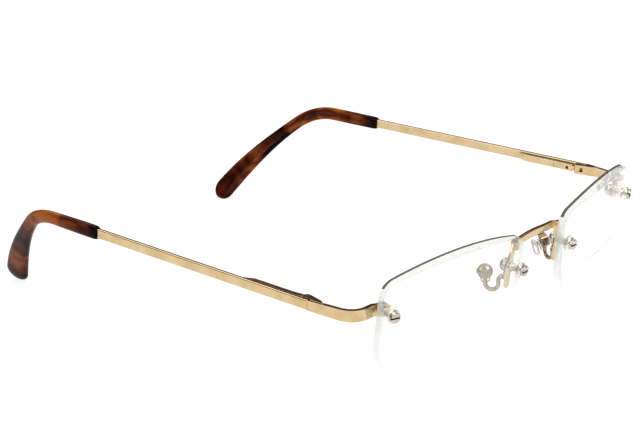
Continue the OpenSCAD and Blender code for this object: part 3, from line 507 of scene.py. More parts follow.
def join_rings(tool, first, second):
    """Faces between two closed rings of points. A ring of one point gives triangles."""
    faces = []
    for k in range(max(len(first), len(second))):
        order = ((first, k), (first, k + 1), (second, k + 1), (second, k))
        corners = [ring[i % len(ring)] for ring, i in order]
        faces.append(tool.faces.new(list(dict.fromkeys(corners))))
    return faces


def front_depth(u, v):
    """Depth of the front surface behind the foremost point."""
    return FRONT_RADIUS - sqrt(FRONT_RADIUS**2 - u * u - v * v)


def rear_depth(u, v):
    """Depth of the rear surface."""
    return LENS_THICKNESS + REAR_RADIUS - sqrt(REAR_RADIUS**2 - u * u - v * v)


# %% Outline of a lens
low_edge = -LENS_HEIGHT / 2 - LOW_SAG / 8
high_edge = LENS_HEIGHT / 2 + ARCH_SHARE * TOP_ARCH
half_width = LENS_WIDTH / 2
CORNERS = [Vector(p) for p in (
    (-half_width, high_edge - TOP_ARCH),
    (0, high_edge),
    (half_width, high_edge - TOP_ARCH),
    (half_width, low_edge + LOW_SAG),
    (LENS_WIDTH / 25, low_edge),
    (-half_width + NASAL_TAPER, low_edge + LOW_SAG),
)]


def corner_frame(i):
    """A corner, the directions to its neighbours and half the angle between them."""
    here = CORNERS[i]
    before = (CORNERS[i - 1] - here).normalized()
    after = (CORNERS[(i + 1) % 6] - here).normalized()
    return here, before, after, acos(before.dot(after)) / 2


def free_length(i):
    """Length of side left for the wide arc at corner i between its neighbours' arcs."""
    def side(k):
        return (CORNERS[(k + 1) % 6] - CORNERS[k]).length

    def cut(k):
        return CORNER_RADII[k] / tan(corner_frame(k)[3])

    return ARC_SHARE * min(side(i - 1) - cut(i - 1), side(i) - cut((i + 1) % 6))


arc_radii = list(CORNER_RADII)
arc_radii[1] = free_length(1) * tan(corner_frame(1)[3])
arc_radii[4] = LOW_ARC_SHARE * free_length(4) * tan(corner_frame(4)[3])


def corner_arc(i, step):
    """Points of the arc at one corner, about one step apart."""
    here, before, after, half = corner_frame(i)
    radius = arc_radii[i]
    middle = here + (before + after).normalized() * radius / sin(half)
    start = here + before * radius / tan(half) - middle
    end = here + after * radius / tan(half) - middle
    whole = start.angle_signed(end)
    count = max(6, round(abs(whole) * radius / step))
    angles = [-whole * k / count for k in range(count + 1)]
    return [middle + Matrix.Rotation(angle, 2) @ start for angle in angles]


def pairs(points):
    """Each point of a closed loop with the next one."""
    return list(zip(points, points[1:] + points[:1]))


def filled(points, step):
    """The closed outline with points added on its straight stretches."""
    result = []
    for here, there in pairs(points):
        pieces = max(1, round((there - here).length / step))
        result += [here.lerp(there, k / pieces) for k in range(pieces)]
    return result


lens_outline = filled([p for i in range(6) for p in corner_arc(i, ARC_STEP)], STRAIGHT_STEP)
print("outline points:", len(lens_outline))


# %% Reading segment
def tilted(point, nod, turn):
    """A point (u, depth, v) turned about the across axis, then about the upright axis."""
    return Matrix.Rotation(turn, 3, "Z") @ Matrix.Rotation(nod, 3, "X") @ Vector(point)


segment_radius = 1 / (1 / FRONT_RADIUS + READING_ADD / (LENS_INDEX - 1) / 1000)
segment_turn = asin(-SEGMENT_INSET / FRONT_RADIUS)
segment_nod = asin((SEGMENT_DROP + SEGMENT_RISE) / FRONT_RADIUS)
rim_depth = sqrt(FRONT_RADIUS**2 - SEGMENT_WIDTH**2 / 4)
segment_back = rim_depth - sqrt(segment_radius**2 - SEGMENT_WIDTH**2 / 4)
ball_middle = Vector((0, FRONT_RADIUS, 0))
ball_centre = ball_middle + tilted((0, -segment_back, 0), segment_nod, segment_turn)
rim_middle = ball_middle + tilted((0, -rim_depth, 0), segment_nod, segment_turn)


def segment_depth(u, v):
    """Depth of the steeper ball of the reading segment."""
    across = (u - ball_centre.x) ** 2 + (v - ball_centre.z) ** 2
    return ball_centre.y - sqrt(segment_radius**2 - across)


def in_segment(u, v):
    """Whether a place on the front lies in the reading segment."""
    return v < -SEGMENT_DROP and segment_depth(u, v) < front_depth(u, v)


def face_depth(u, v):
    """Depth of the front surface with its segment."""
    return segment_depth(u, v) if in_segment(u, v) else front_depth(u, v)


def spoke(angle, diameter, nod, turn):
    """From the middle of a tilted circle to a place on it."""
    return tilted((cos(angle) * diameter / 2, 0, sin(angle) * diameter / 2), nod, turn)


def rim_point(angle):
    """Place (u, v) on the circle in which the segment meets the front surface."""
    return (rim_middle + spoke(angle, SEGMENT_WIDTH, segment_nod, segment_turn)).xz


def ledge_angle(low, high):
    """Angle between low and high at which the circle crosses the flat top."""
    for _ in range(HALVINGS):
        middle = (low + high) / 2
        if (rim_point(middle).y < -SEGMENT_DROP) == (rim_point(low).y < -SEGMENT_DROP):
            low = middle
        else:
            high = middle
    return low


ledge_right = ledge_angle(0, pi / 2)
ledge_left = ledge_angle(pi, pi / 2)
print("ledge from", round(rim_point(ledge_left).x, 2), "to", round(rim_point(ledge_right).x, 2))


# %% Flat map of a lens surface
def inset(points, distance):
    """The loop moved inwards, for an outline that runs clockwise."""
    result = []
    for i, here in enumerate(points):
        along = (points[(i + 1) % len(points)] - points[i - 1]).normalized()
        result.append(here + Vector((along.y, -along.x)) * distance)
    return result


def inside(point, loop):
    """Whether a point lies inside a closed loop."""
    odd = False
    for a, b in pairs(loop):
        if (a.y > point.y) != (b.y > point.y):
            if point.x < a.x + (point.y - a.y) / (b.y - a.y) * (b.x - a.x):
                odd = not odd
    return odd


if sum(a.x * b.y - b.x * a.y for a, b in pairs(lens_outline)) > 0:
    lens_outline.reverse()
inner_loop = inset(lens_outline, EDGE_BEVEL)


def add_crossing(angle, step):
    """Walks down the segment's circle to the outline and puts the crossing on both loops."""
    walk = [rim_point(angle)]
    while inside(rim_point(angle + step), inner_loop):
        angle += step
        walk.append(rim_point(angle))
    a, b = walk[-1], rim_point(angle + step)
    for i, (c, d) in enumerate(pairs(inner_loop)):
        flat = (b.x - a.x) * (d.y - c.y) - (b.y - a.y) * (d.x - c.x)
        if abs(flat) < ALMOST_ZERO:
            continue
        t = ((c.x - a.x) * (d.y - c.y) - (c.y - a.y) * (d.x - c.x)) / flat
        s = ((c.x - a.x) * (b.y - a.y) - (c.y - a.y) * (b.x - a.x)) / flat
        if 0 <= t <= 1 and 0 <= s <= 1:
            outer_next = lens_outline[(i + 1) % len(lens_outline)]
            crossing = c.lerp(d, s)
            lens_outline.insert(i + 1, lens_outline[i].lerp(outer_next, s))
            inner_loop.insert(i + 1, crossing)
            if (walk[-1] - crossing).length < MERGE_LENGTH:
                walk.pop()
            walk.append(crossing)
            return walk
    return walk


RIM_STEP = radians(4)
LEDGE_STEPS = 26
rim_right = add_crossing(ledge_right, -RIM_STEP)
rim_left = add_crossing(ledge_left, RIM_STEP)
ledge = [rim_left[0].lerp(rim_right[0], k / LEDGE_STEPS) for k in range(LEDGE_STEPS + 1)]
print("segment rim points:", len(rim_left), len(rim_right), "ledge points:", len(ledge))

# %% Drilled holes
HOLE_SIDES = 32


def site_angles(site):
    """Nod and turn of a hole, so that it runs square to the middle of the lens."""
    u, v = site
    nod = -(asin(v / FRONT_RADIUS) + asin(v / REAR_RADIUS)) / 2
    turn = (asin(u / FRONT_RADIUS) + asin(u / REAR_RADIUS)) / 2
    return nod, turn


def hole_loop(site, depth_at):
    """The loop in which a drilled hole leaves one lens surface, as (u, v) points."""
    nod, turn = site_angles(site)
    middle = Vector((site[0], (front_depth(*site) + rear_depth(*site)) / 2, site[1]))
    along = tilted((0, 1, 0), nod, turn)
    loop = []
    for angle in round_angles(HOLE_SIDES):
        start = middle + spoke(angle, HOLE_DIAMETER, nod, turn)
        point = start
        for _ in range(HOLE_ROUNDS):
            point = start + along * ((depth_at(point.x, point.z) - start.y) / along.y)
        loop.append(point.xz)
    return loop


def surface_map(loop, holes, lines):
    """One lens surface: (u, v) points, index triples and the new index of each given point."""
    points = []
    edges = []
    for part, gaps in [(p, 0) for p in (loop, *holes)] + [(p, 1) for p in lines]:
        first = len(points)
        count = len(part)
        points += part
        edges += [(first + i, first + (i + 1) % count) for i in range(count - gaps)]
    fixed = list(points)
    rows = round(LENS_HEIGHT * 1.2 / MAP_STEP)
    columns = round(LENS_WIDTH / MAP_STEP)
    for row in range(-rows // 2, rows // 2 + 1):
        for column in range(-columns // 2, columns // 2 + 1):
            place = Vector(((column + 0.5 * (row % 2)) * MAP_STEP, row * MAP_STEP * ROW_SHARE))
            near = min((place - other).length_squared for other in fixed)
            if near > (CLEAR_SHARE * MAP_STEP) ** 2 and on_lens(place, loop, holes):
                points.append(place)
    found, _, faces, origins, _, _ = delaunay_2d_cdt(points, edges, [], 0, WELD_LENGTH, True)
    kept = [tuple(face) for face in faces if on_lens(face_middle(found, face), loop, holes)]
    place_of = {source: i for i, sources in enumerate(origins) for source in sources}
    return found, kept, place_of


def on_lens(place, loop, holes):
    """Whether a place is in the loop and outside its holes."""
    return inside(place, loop) and not any(inside(place, hole) for hole in holes)


def face_middle(found, face):
    """Middle of a triangle."""
    return sum((found[i] for i in face), Vector((0, 0))) / 3


# %% Lens mesh
FROSTED, FRONT_RIM, PAINTED_REAR_SHADE_RIM = 1, 2, 3


def lens_map_mesh():
    """A lens in its own frame, in millimetres, with polished faces and a frosted edge."""
    tool = bmesh.new()
    add_vert = tool.verts.new
    front_holes = [hole_loop(site, front_depth) for site in SITES]
    rear_holes = [hole_loop(site, rear_depth) for site in SITES]
    lines = [rim_left, rim_right, ledge]
    found, faces, place_of = surface_map(inner_loop, front_holes, lines)
    front = [add_vert((p.x, face_depth(p.x, p.y), p.y)) for p in found]
    lowered = {}
    on_ledge = [i for i, p in enumerate(found) if abs(p.y + SEGMENT_DROP) < TINY]
    for i in on_ledge:
        u, v = found[i]
        front[i].co.y = front_depth(u, v)
        if segment_depth(u, v) < front_depth(u, v) - TINY:
            lowered[i] = add_vert((u, segment_depth(u, v), v))
    for face in faces:
        segment = in_segment(*face_middle(found, face))
        tool.faces.new([lowered.get(i, front[i]) if segment else front[i] for i in face])
    frosted = []
    row = sorted(on_ledge, key=lambda i: found[i].x)
    for i, k in zip(row, row[1:]):
        corners = [front[i], front[k], lowered.get(k, front[k]), lowered.get(i, front[i])]
        if i in lowered or k in lowered:
            frosted.append(tool.faces.new(list(dict.fromkeys(corners))))
    rear_found, rear_faces, rear_place = surface_map(inner_loop, rear_holes, [])
    rear = [add_vert((p.x, rear_depth(p.x, p.y), p.y)) for p in rear_found]
    for face in rear_faces:
        tool.faces.new([rear[i] for i in reversed(face)])
    count = len(inner_loop)
    rings = [[front[place_of[i]] for i in range(count)], [], [], []]
    rings.append([rear[rear_place[i]] for i in range(count)])
    for u, v in lens_outline:
        back = rear_depth(u, v) - EDGE_BEVEL
        rings[1].append(add_vert((u, face_depth(u, v) + EDGE_BEVEL, v)))
        rings[3].append(add_vert((u, back, v)))
        rings[2].append(add_vert((u, back - REAR_LINE, v)))
    bands = [join_rings(tool, *neighbours) for neighbours in zip(rings, rings[1:])]
    for h in range(len(SITES)):
        sides = range(count + h * HOLE_SIDES, count + (h + 1) * HOLE_SIDES)
        near = [front[place_of[i]] for i in sides]
        far = [rear[rear_place[i]] for i in sides]
        frosted += join_rings(tool, near, far)
    for face in frosted + bands[1] + bands[2] + bands[3]:
        face.material_index = FROSTED
    for face in bands[0]:
        face.material_index = FRONT_RIM
    # Along the top, the rear band and the rear bevel get the painted shade line.
    for i, (here, there) in enumerate(pairs(lens_outline)):
        if abs((there - here).normalized().y) < TOP_SLOPE and here.y > 0:
            bands[2][i].material_index = PAINTED_REAR_SHADE_RIM
            bands[3][i].material_index = PAINTED_REAR_SHADE_RIM
    return tool


# %% Pieces from meshes
def tool_object(name, tool, size=1, sharp=0):
    """An object from a bmesh, scaled to size. Edges under the sharp angle are smooth."""
    bmesh.ops.recalc_face_normals(tool, faces=tool.faces)
    bmesh.ops.scale(tool, vec=(size, size, size), verts=tool.verts)
    for edge in tool.edges if sharp else ():
        angle = edge.calc_face_angle(pi)
        edge.smooth = len(edge.link_faces) == 2 and angle < radians(sharp)
    for face in tool.faces if sharp else ():
        face.smooth = True
    mesh = bpy.data.meshes.new(name)
    tool.to_mesh(mesh)
    tool.free()
    return bpy.data.objects.new(name, mesh)


def new_piece(name, tool, materials, body, replaced=(), sharp=35):
    """Turns a bmesh in millimetres of the shared frame into a piece on a body."""
    piece = tool_object(name, tool, MM, sharp)
    for material in materials:
        piece.data.materials.append(material)
    link_object(piece)
    if replaced:
        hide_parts(*replaced)
    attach(piece, body)
    print(name, len(piece.data.polygons), "faces")
    return piece


def paired_pieces(name, shape, onto, materials, body, replaced, sharp=35):
    """Makes pieces of the left shape and its mirror image. onto moves it to its place."""
    made = []
    for side, sign in SIDES.items():
        tool = shape.copy()
        if onto:
            bmesh.ops.transform(tool, matrix=onto, verts=tool.verts)
        for vert in tool.verts:
            vert.co.x *= sign
        made.append(new_piece(
            f"{name}_{side}", tool, materials, body.replace("SIDE", side),
            [old.replace("SIDE", side) for old in replaced], sharp,
        ))
    shape.free()
    return made


# %% Placing the lenses
NOSE_GAP = 20.1


def placed_lens():
    """The left lens at its wrap and lean in the box of its CAD node, and its matrix."""
    tool = lens_map_mesh()
    turn = Matrix.Rotation(LENS_WRAP, 4, "Z") @ Matrix.Rotation(LENS_LEAN, 4, "X")
    apex = Vector((
        NOSE_GAP / 2 + LENS_WIDTH / 2 * cos(LENS_WRAP),
        LENS_WIDTH / 2 * sin(LENS_WRAP),
        0,
    ))
    for vert in tool.verts:
        vert.co = turn @ vert.co + apex
    low_corner, high_corner = (corner / MM for corner in map(Vector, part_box("lens_left")))
    depths = [vert.co.y for vert in tool.verts]
    back = (low_corner.y + high_corner.y - min(depths) - max(depths)) / 2
    shift = Vector((0, back, low_corner.z - min(vert.co.z for vert in tool.verts)))
    for vert in tool.verts:
        vert.co += shift
    return tool, Matrix.Translation(apex + shift) @ turn


lens_shape, lens_frame = placed_lens()
paired_pieces("lens_shaped", lens_shape, None, LENS_FINISHES, "front", ["lens_SIDE"], 25)

# %% [markdown]
# ## Temple tips
# The plastic tips follow one curve: a straight sleeve over the end of the metal bar, a bend over
# the ear and a part that widens into a flat paddle. Their section is a rounded oblong. A loft
# through many sections gives a smooth skin, and an ordinary subdivided box would need dozens of
# hand-placed points for the same curve. A UV map runs along the tip, so that the mottled
# colour can stretch in its direction.

# %% Side frame of a temple
JOINT_PLACE = Vector((67.2326, 27.4571 - CAD_BACK, 21.6814))
TOE_IN = radians(3.44)
TEMPLE_RISE = radians(3.87)
BARE_LENGTH = 69.2
SLEEVE_LENGTH = 15.4
EAR_RADIUS = 16.1
EAR_BEND = radians(45.6)
TIP_LEAN = radians(29)
TIP_LENGTH = 34.6
TIP_CURL = 5.5
TIP_OUT = 0.75
SLEEVE_HEIGHT = 3.7
SLEEVE_DEPTH = 2.3
PADDLE_WIDTH = 6.8
PADDLE_DEPTH = 2.1
CORE_BORE = 1.3
CORE_LENGTH = 48.0
MOUTH_GAP = 0.05
MOUTH_LENGTH = 1.6
MOUTH_SHARE = 0.8
MOUTH_GROWTH = 0.2
END_SHARE = 0.52
END_AREA = 0.0036
WIDENING_SHARE = 0.95
THIN_END = (0.35, 0.65)
SQUARENESS = 0.75
NEAR_STEP = 0.05
TIP_SIDES = 56
TIP_STEPS = 150
MOUTH_STEPS = 8
END_STEPS = 16
BORE_STEPS = 30
LENGTH_PER_MAP = 40.0

bend_end = SLEEVE_LENGTH + EAR_RADIUS * EAR_BEND
tip_whole = bend_end + TIP_LENGTH
end_length = PADDLE_WIDTH * END_SHARE
side_turn = Matrix.Rotation(TOE_IN, 4, "Z") @ Matrix.Rotation(TEMPLE_RISE, 4, "X")
side_frame = Matrix.Translation(JOINT_PLACE) @ side_turn
tip_down = Vector((-sin(TIP_LEAN), 0, -cos(TIP_LEAN)))
print("tip length", round(tip_whole, 1), "mm")


# %% Curve of a tip
def smooth_step(t):
    """Rises smoothly from 0 to 1."""
    t = min(max(t, 0), 1)
    return t * t * (3 - 2 * t)


def bend_point(angle):
    """A point of the ear bend."""
    start = Vector((0, BARE_LENGTH + SLEEVE_LENGTH, 0))
    forward = Vector((0, EAR_RADIUS * sin(angle), 0))
    return start + forward + EAR_RADIUS * (1 - cos(angle)) * tip_down


def tip_point(s):
    """Middle of the tip at length s from the mouth of its sleeve."""
    if s <= SLEEVE_LENGTH:
        return Vector((0, BARE_LENGTH + s, 0))
    if s <= bend_end:
        return bend_point((s - SLEEVE_LENGTH) / EAR_RADIUS)
    d = s - bend_end
    k = d / TIP_LENGTH
    along = Vector((0, cos(EAR_BEND), 0)) + sin(EAR_BEND) * tip_down
    across = Vector((0, -sin(EAR_BEND), 0)) + cos(EAR_BEND) * tip_down
    outwards = Vector((TIP_OUT * k * k, 0, 0))
    return bend_point(EAR_BEND) + d * along + TIP_CURL * k * k * across + outwards


def tip_axes(s):
    """Directions across the tip's wide side and through its thin side."""
    along = (tip_point(s + NEAR_STEP) - tip_point(s - NEAR_STEP)).normalized()
    k = smooth_step(s / bend_end)
    upright = (1 - k) * UP - k * tip_down
    wide = (upright - upright.dot(along) * along).normalized()
    return wide, wide.cross(along)


print("the ear bend ends", [round(x, 1) for x in tip_point(bend_end)], "from the joint")


# %% Sections of a tip
def end_share(s):
    """Share of the full section near the rounded mouth and the rounded end."""
    if s < MOUTH_LENGTH:
        return MOUTH_SHARE + MOUTH_GROWTH * sqrt(1 - (1 - s / MOUTH_LENGTH) ** 2)
    past = (s - tip_whole + end_length) / end_length
    return sqrt(max(END_AREA, 1 - past**2)) if past > 0 else 1.0


def squared(value):
    """A cosine or sine pushed outwards, which makes an oblong of an oval."""
    return copysign(abs(value) ** SQUARENESS, value)


def tip_section(s):
    """Points round the tip at length s."""
    wide, thin = tip_axes(s)
    share = end_share(s)
    widened = smooth_step((s - bend_end) / (TIP_LENGTH * WIDENING_SHARE))
    height = SLEEVE_HEIGHT + (PADDLE_WIDTH - SLEEVE_HEIGHT) * widened
    thickness = SLEEVE_DEPTH + (PADDLE_DEPTH - SLEEVE_DEPTH) * s / tip_whole
    thinned = THIN_END[0] + THIN_END[1] * share
    points = []
    for angle in round_angles(TIP_SIDES):
        side_shift = squared(cos(angle)) * thickness / 2 * thinned
        up_shift = squared(sin(angle)) * height / 2 * share
        points.append(tip_point(s) + side_shift * thin + up_shift * wide)
    return points


def wire_section(s):
    """Points round the bore for the core wire at length s."""
    wide, thin = tip_axes(s)
    return [
        tip_point(s) + CORE_BORE / 2 * (cos(a) * thin + sin(a) * wide)
        for a in round_angles(TIP_SIDES)
    ]


def tip_lengths():
    """Lengths of the sections, closer together at the mouth and at the end."""
    end_start = tip_whole - end_length
    middle_count = TIP_STEPS - MOUTH_STEPS - END_STEPS
    quarter = pi / 2
    mouth = [
        MOUTH_GAP + (MOUTH_LENGTH - MOUTH_GAP) * (1 - cos(k * quarter / MOUTH_STEPS))
        for k in range(MOUTH_STEPS)
    ]
    middle = [
        MOUTH_LENGTH + (end_start - MOUTH_LENGTH) * k / middle_count
        for k in range(middle_count)
    ]
    end = [end_start + end_length * sin(k * quarter / END_STEPS) for k in range(END_STEPS + 1)]
    return mouth + middle + end


print("tip sections:", len(tip_lengths()))


# %% Tip mesh
def tip_shape():
    """The left tip in the side frame, with its blind bore and a map along its length."""
    tool = bmesh.new()
    layer = tool.loops.layers.uv.new("along")
    lengths = tip_lengths()
    depths = [MOUTH_GAP + CORE_LENGTH * k / BORE_STEPS for k in range(BORE_STEPS + 1)]
    rings = [[tool.verts.new(p) for p in tip_section(s)] for s in lengths]
    bore = [[tool.verts.new(p) for p in wire_section(s)] for s in depths]
    for i, (first, second) in enumerate(zip(rings, rings[1:])):
        for k, face in enumerate(join_rings(tool, first, second)):
            places = ((i, k), (i, k + 1), (i + 1, k + 1), (i + 1, k))
            for loop, (row, turn) in zip(face.loops, places):
                round_share = abs(2 * turn / TIP_SIDES - 1)
                loop[layer].uv = (lengths[row] / LENGTH_PER_MAP, round_share)
    hidden = []
    for first, second in [(bore[0], rings[0]), *zip(bore[1:], bore)]:
        hidden += [(face, 0) for face in join_rings(tool, first, second)]
    hidden += [(tool.faces.new(cap), tip_whole) for cap in (rings[-1], bore[-1])]
    for face, length in hidden:
        for loop in face.loops:
            loop[layer].uv = (length / LENGTH_PER_MAP, 0.5)
    return tool


# %% Placing the tips
paired_pieces(
    "tip_shaped", tip_shape(), side_frame, [tortoise], "temple_body_SIDE",
    ["temple_tip_SIDE"], 50,
)

# %% [markdown]
# ## Nose pads
# A nose pad is a soft clear silicone drop, wider below, with a domed face towards the nose and a
# flatter back that takes the metal tang. It is lofted here from the rim outline: each ring is
# the outline drawn in towards its middle while its depth follows a superellipse, which keeps the
# rim full and the faces gently domed. A subdivided ball would lose the drop outline.

# %% Pad outline
PAD_PLACE = Vector((14.3131, 11.7005 - CAD_BACK, 17.5627))
PAD_SPLAY = radians(31)
PAD_FLARE = radians(16)
PAD_LENGTH = 13.0
PAD_WIDTH = 7.0
PAD_THICKNESS = 2.5
PAD_START = 1.1
PAD_LOW = 1.2
PAD_MIDDLE = Vector((0, -0.6))
PAD_TOP_SHARE = 0.4
PAD_BACK_SHARE = 0.42
DOME_POWER = 0.8
RIM_POWER = 0.55
PAD_SIDES = 64
PAD_RINGS = 12
RIM_SAMPLES = 720
pad_turn = Matrix.Rotation(pi - PAD_SPLAY, 4, "Z") @ Matrix.Rotation(PAD_FLARE, 4, "Y")
pad_frame = Matrix.Translation(PAD_PLACE) @ pad_turn


def pad_rim(angle):
    """Rim of the pad as (across, up) from its middle: two arcs joined by straight sides."""
    top_radius = PAD_WIDTH * PAD_TOP_SHARE
    low_radius = PAD_WIDTH / 2
    top = PAD_LENGTH / 2 - top_radius
    low = low_radius - PAD_LENGTH / 2
    slope = asin((low_radius - top_radius) / (top - low))
    direction = Vector((cos(angle), sin(angle)))
    if slope <= angle <= pi - slope:
        return Vector((0, top)) + top_radius * direction
    return Vector((0, low)) + low_radius * direction


def pad_outline():
    """The rim sampled evenly, so that the long sides get their share of points."""
    dense = [pad_rim(angle) for angle in round_angles(RIM_SAMPLES)]
    dense.append(dense[0])
    lengths = [0.0]
    for a, b in zip(dense, dense[1:]):
        lengths.append(lengths[-1] + (b - a).length)
    result = []
    at = 0
    for k in range(PAD_SIDES):
        goal = lengths[-1] * k / PAD_SIDES
        while lengths[at + 1] < goal:
            at += 1
        share = (goal - lengths[at]) / max(lengths[at + 1] - lengths[at], ALMOST_ZERO)
        result.append(dense[at].lerp(dense[at + 1], share))
    return result


def pad_shape():
    """The left pad in its own frame: X towards the nose, Y across, Z up."""
    tool = bmesh.new()
    start = PAD_START + PAD_THICKNESS / 2
    back = PAD_THICKNESS * PAD_BACK_SHARE
    front = PAD_THICKNESS / 2
    rim = pad_outline()
    rings = []
    for step in range(1, 2 * PAD_RINGS):
        angle = (step / PAD_RINGS - 1) * pi / 2
        depth = copysign(abs(sin(angle)) ** DOME_POWER, angle)
        share = cos(angle) ** RIM_POWER
        x = start + depth * (front if depth > 0 else back)
        places = [PAD_MIDDLE + (point - PAD_MIDDLE) * share for point in rim]
        rings.append([tool.verts.new((x, p.x, p.y - PAD_LOW)) for p in places])
    ends = [
        [tool.verts.new((start + depth, PAD_MIDDLE.x, PAD_MIDDLE.y - PAD_LOW))]
        for depth in (-back, front)
    ]
    for first, second in [*zip(rings, rings[1:]), (rings[0], ends[0]), (rings[-1], ends[1])]:
        join_rings(tool, first, second)
    return tool


# %% Placing the pads
for pad in paired_pieces(
    "pad_soft", pad_shape(), pad_frame, [silicone], "nose_pad_body_SIDE",
    ["nose_pad_SIDE"], 60,
):
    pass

# %% [markdown]
# ## Lens screws
# The same slotted screw, dished washer and domed nut stand at all four drilled holes. Each piece
# is drawn once as a turned profile, and a Geometry Nodes tree sets a copy on each site, turned
# to the axis of its hole. Copying by hand would work for four, but the tree keeps the
# sites in one list and its sizes as named inputs.

# %% Sizes of the screw stack
SCREW_DIAMETER = 1.2
SCREW_TAPER = 0.15
HEAD_DIAMETER = 2.8
HEAD_HEIGHT = 0.9
SLOT_WIDTH = 0.45
SLOT_DEPTH = 0.4
MARK_MARGIN = (0.02, 0.01)
CUP_DIAMETER = 3.5
CUP_THICKNESS = 0.55
CUP_DISH = (0.1, -0.33)
CUP_RIM = -0.2
FRONT_WASHER = 0.5
REAR_WASHER = 0.45
LUG_THICKNESS = 0.65
NUT_DIAMETER = 3.4
NUT_HEIGHT = 2.0
NUT_CAP = 0.5
NUT_DOME_SHARE = 0.55
NUT_COLLAR = ((0, 0.08), (0.08, 0), (0.3, 0), (0.36, 0.1), (0.46, 0.1), (0.52, 0))
SEAT_GAP = 0.02
BORE_DIAMETER = SCREW_DIAMETER + 0.06
RIM_ROUND = 0.22
EDGE_CUT = 0.06
TURNED_SIDES = 48


def half_lens(site):
    """Half the lens thickness along a hole."""
    nod, turn = site_angles(site)
    thickness = rear_depth(*site) - front_depth(*site)
    return thickness / 2 * cos(turn) * cos(nod)


def head_seat(site):
    """Depth of the head's seat from the middle of the lens."""
    return -(half_lens(site) + FRONT_WASHER + CUP_THICKNESS + 2 * SEAT_GAP)


def shank_length(site):
    """Length of the shank below the head, from the seat to its end in the nut."""
    stack = 2 * half_lens(site) + FRONT_WASHER + CUP_THICKNESS + 2 * SEAT_GAP
    stack += REAR_WASHER + LUG_THICKNESS + SEAT_GAP
    return stack + NUT_HEIGHT - NUT_CAP - SEAT_GAP


def nut_seat_depth(site):
    """Depth of the nut's seat below the seat of the screw head."""
    return shank_length(site) - NUT_HEIGHT + NUT_CAP + SEAT_GAP


def site_matrix(site):
    """Matrix from a hole's frame, with Y along the hole, to the shared frame, left side."""
    nod, turn = site_angles(site)
    middle = (front_depth(*site) + rear_depth(*site)) / 2
    tilt = Matrix.Rotation(turn, 4, "Z") @ Matrix.Rotation(nod, 4, "X")
    return lens_frame @ Matrix.Translation((site[0], middle, site[1])) @ tilt


print("half thickness at the holes", [round(half_lens(site), 2) for site in SITES])
print("shank lengths", [round(shank_length(site), 2) for site in SITES])


# %% Turned shapes
def arc_profile(centre, radius, start, end, steps):
    """Points (radius, depth) of an arc in the profile plane, angles in degrees."""
    angles = [radians(start + (end - start) * k / steps) for k in range(steps + 1)]
    return [(centre[0] + radius * cos(a), centre[1] + radius * sin(a)) for a in angles]


def turned_object(name, profile):
    """A solid of revolution about Y from (radius, depth) points, in metres."""
    tool = bmesh.new()
    rings = []
    for radius, depth in profile:
        angles = round_angles(TURNED_SIDES if radius else 1)
        places = [(radius * cos(a), depth, radius * sin(a)) for a in angles]
        rings.append([tool.verts.new(place) for place in places])
    if len(rings[0]) > 1 and len(rings[-1]) > 1:
        rings.append(rings[0])
    for first, second in zip(rings, rings[1:]):
        join_rings(tool, first, second)
    return tool_object(name, tool, MM)


def turned_in_mm(name, profile, onto=Matrix()):
    """The same in millimetres, moved by a matrix."""
    made = turned_object(name, profile)
    made.data.transform(onto @ Matrix.Scale(1 / MM, 4))
    return made


def bore_object(onto, diameter, start, end):
    """A cylinder along the frame's Y, moved by a matrix, in millimetres."""
    half = diameter / 2
    return turned_in_mm("bore", [(0, start), (half, start), (half, end), (0, end)], onto)


# %% Prisms, cuts and bevels
def prism_object(name, corners, move):
    """A prism over an outline in space, drawn out by a move, in millimetres."""
    tool = bmesh.new()
    face = tool.faces.new([tool.verts.new(corner) for corner in corners])
    grown = bmesh.ops.extrude_face_region(tool, geom=[face])
    moved = [item for item in grown["geom"] if isinstance(item, bmesh.types.BMVert)]
    bmesh.ops.translate(tool, vec=move, verts=moved)
    return tool_object(name, tool)


def evaluated_mesh(item):
    """Plain mesh of an object with its modifiers."""
    bpy.context.view_layer.update()
    graph = bpy.context.evaluated_depsgraph_get()
    return bpy.data.meshes.new_from_object(item.evaluated_get(graph))


def carved_mesh(body, *steps):
    """Plain mesh of a body after its steps: a bevel as (width, segments), or a cutter."""
    cutters = [step for step in steps if not isinstance(step, tuple)]
    for item in (body, *cutters):
        link_object(item)
    for step in steps:
        if step in cutters:
            cut = body.modifiers.new("cut", "BOOLEAN")
            cut.operation = "DIFFERENCE"
            cut.solver = "EXACT"
            cut.object = step
        else:
            soft = body.modifiers.new("rounded edges", "BEVEL")
            soft.width, soft.segments = step
            soft.limit_method = "ANGLE"
    done = evaluated_mesh(body)
    for item in (body, *cutters):
        bpy.data.objects.remove(item)
    return done


# %% Screw, washer and nut
def screw_object():
    """A slotted barrel head and a plain shank. Depth 0 is the seat of the head."""
    head = HEAD_DIAMETER / 2
    shank = SCREW_DIAMETER / 2
    end = shank_length(NASAL_SITE)
    corner = arc_profile((head - RIM_ROUND, -HEAD_HEIGHT + RIM_ROUND), RIM_ROUND, -90, 0, 6)
    plain = turned_object("plain screw", [
        (0, -HEAD_HEIGHT), *corner, (head, -EDGE_CUT), (head - EDGE_CUT, 0), (shank, 0),
        (shank, end - SCREW_TAPER), (shank - SCREW_TAPER, end), (0, end),
    ])
    tool = bmesh.new()
    bmesh.ops.create_cube(tool, size=MM)
    size = (2 * HEAD_DIAMETER, 2 * SLOT_DEPTH, SLOT_WIDTH)
    bmesh.ops.scale(tool, vec=size, verts=tool.verts)
    middle = Vector((0, -HEAD_HEIGHT, 0)) * MM
    bmesh.ops.translate(tool, vec=middle, verts=tool.verts)
    mesh = carved_mesh(plain, tool_object("slot", tool))
    mark_recess(mesh)
    return bpy.data.objects.new("screw to copy", mesh)


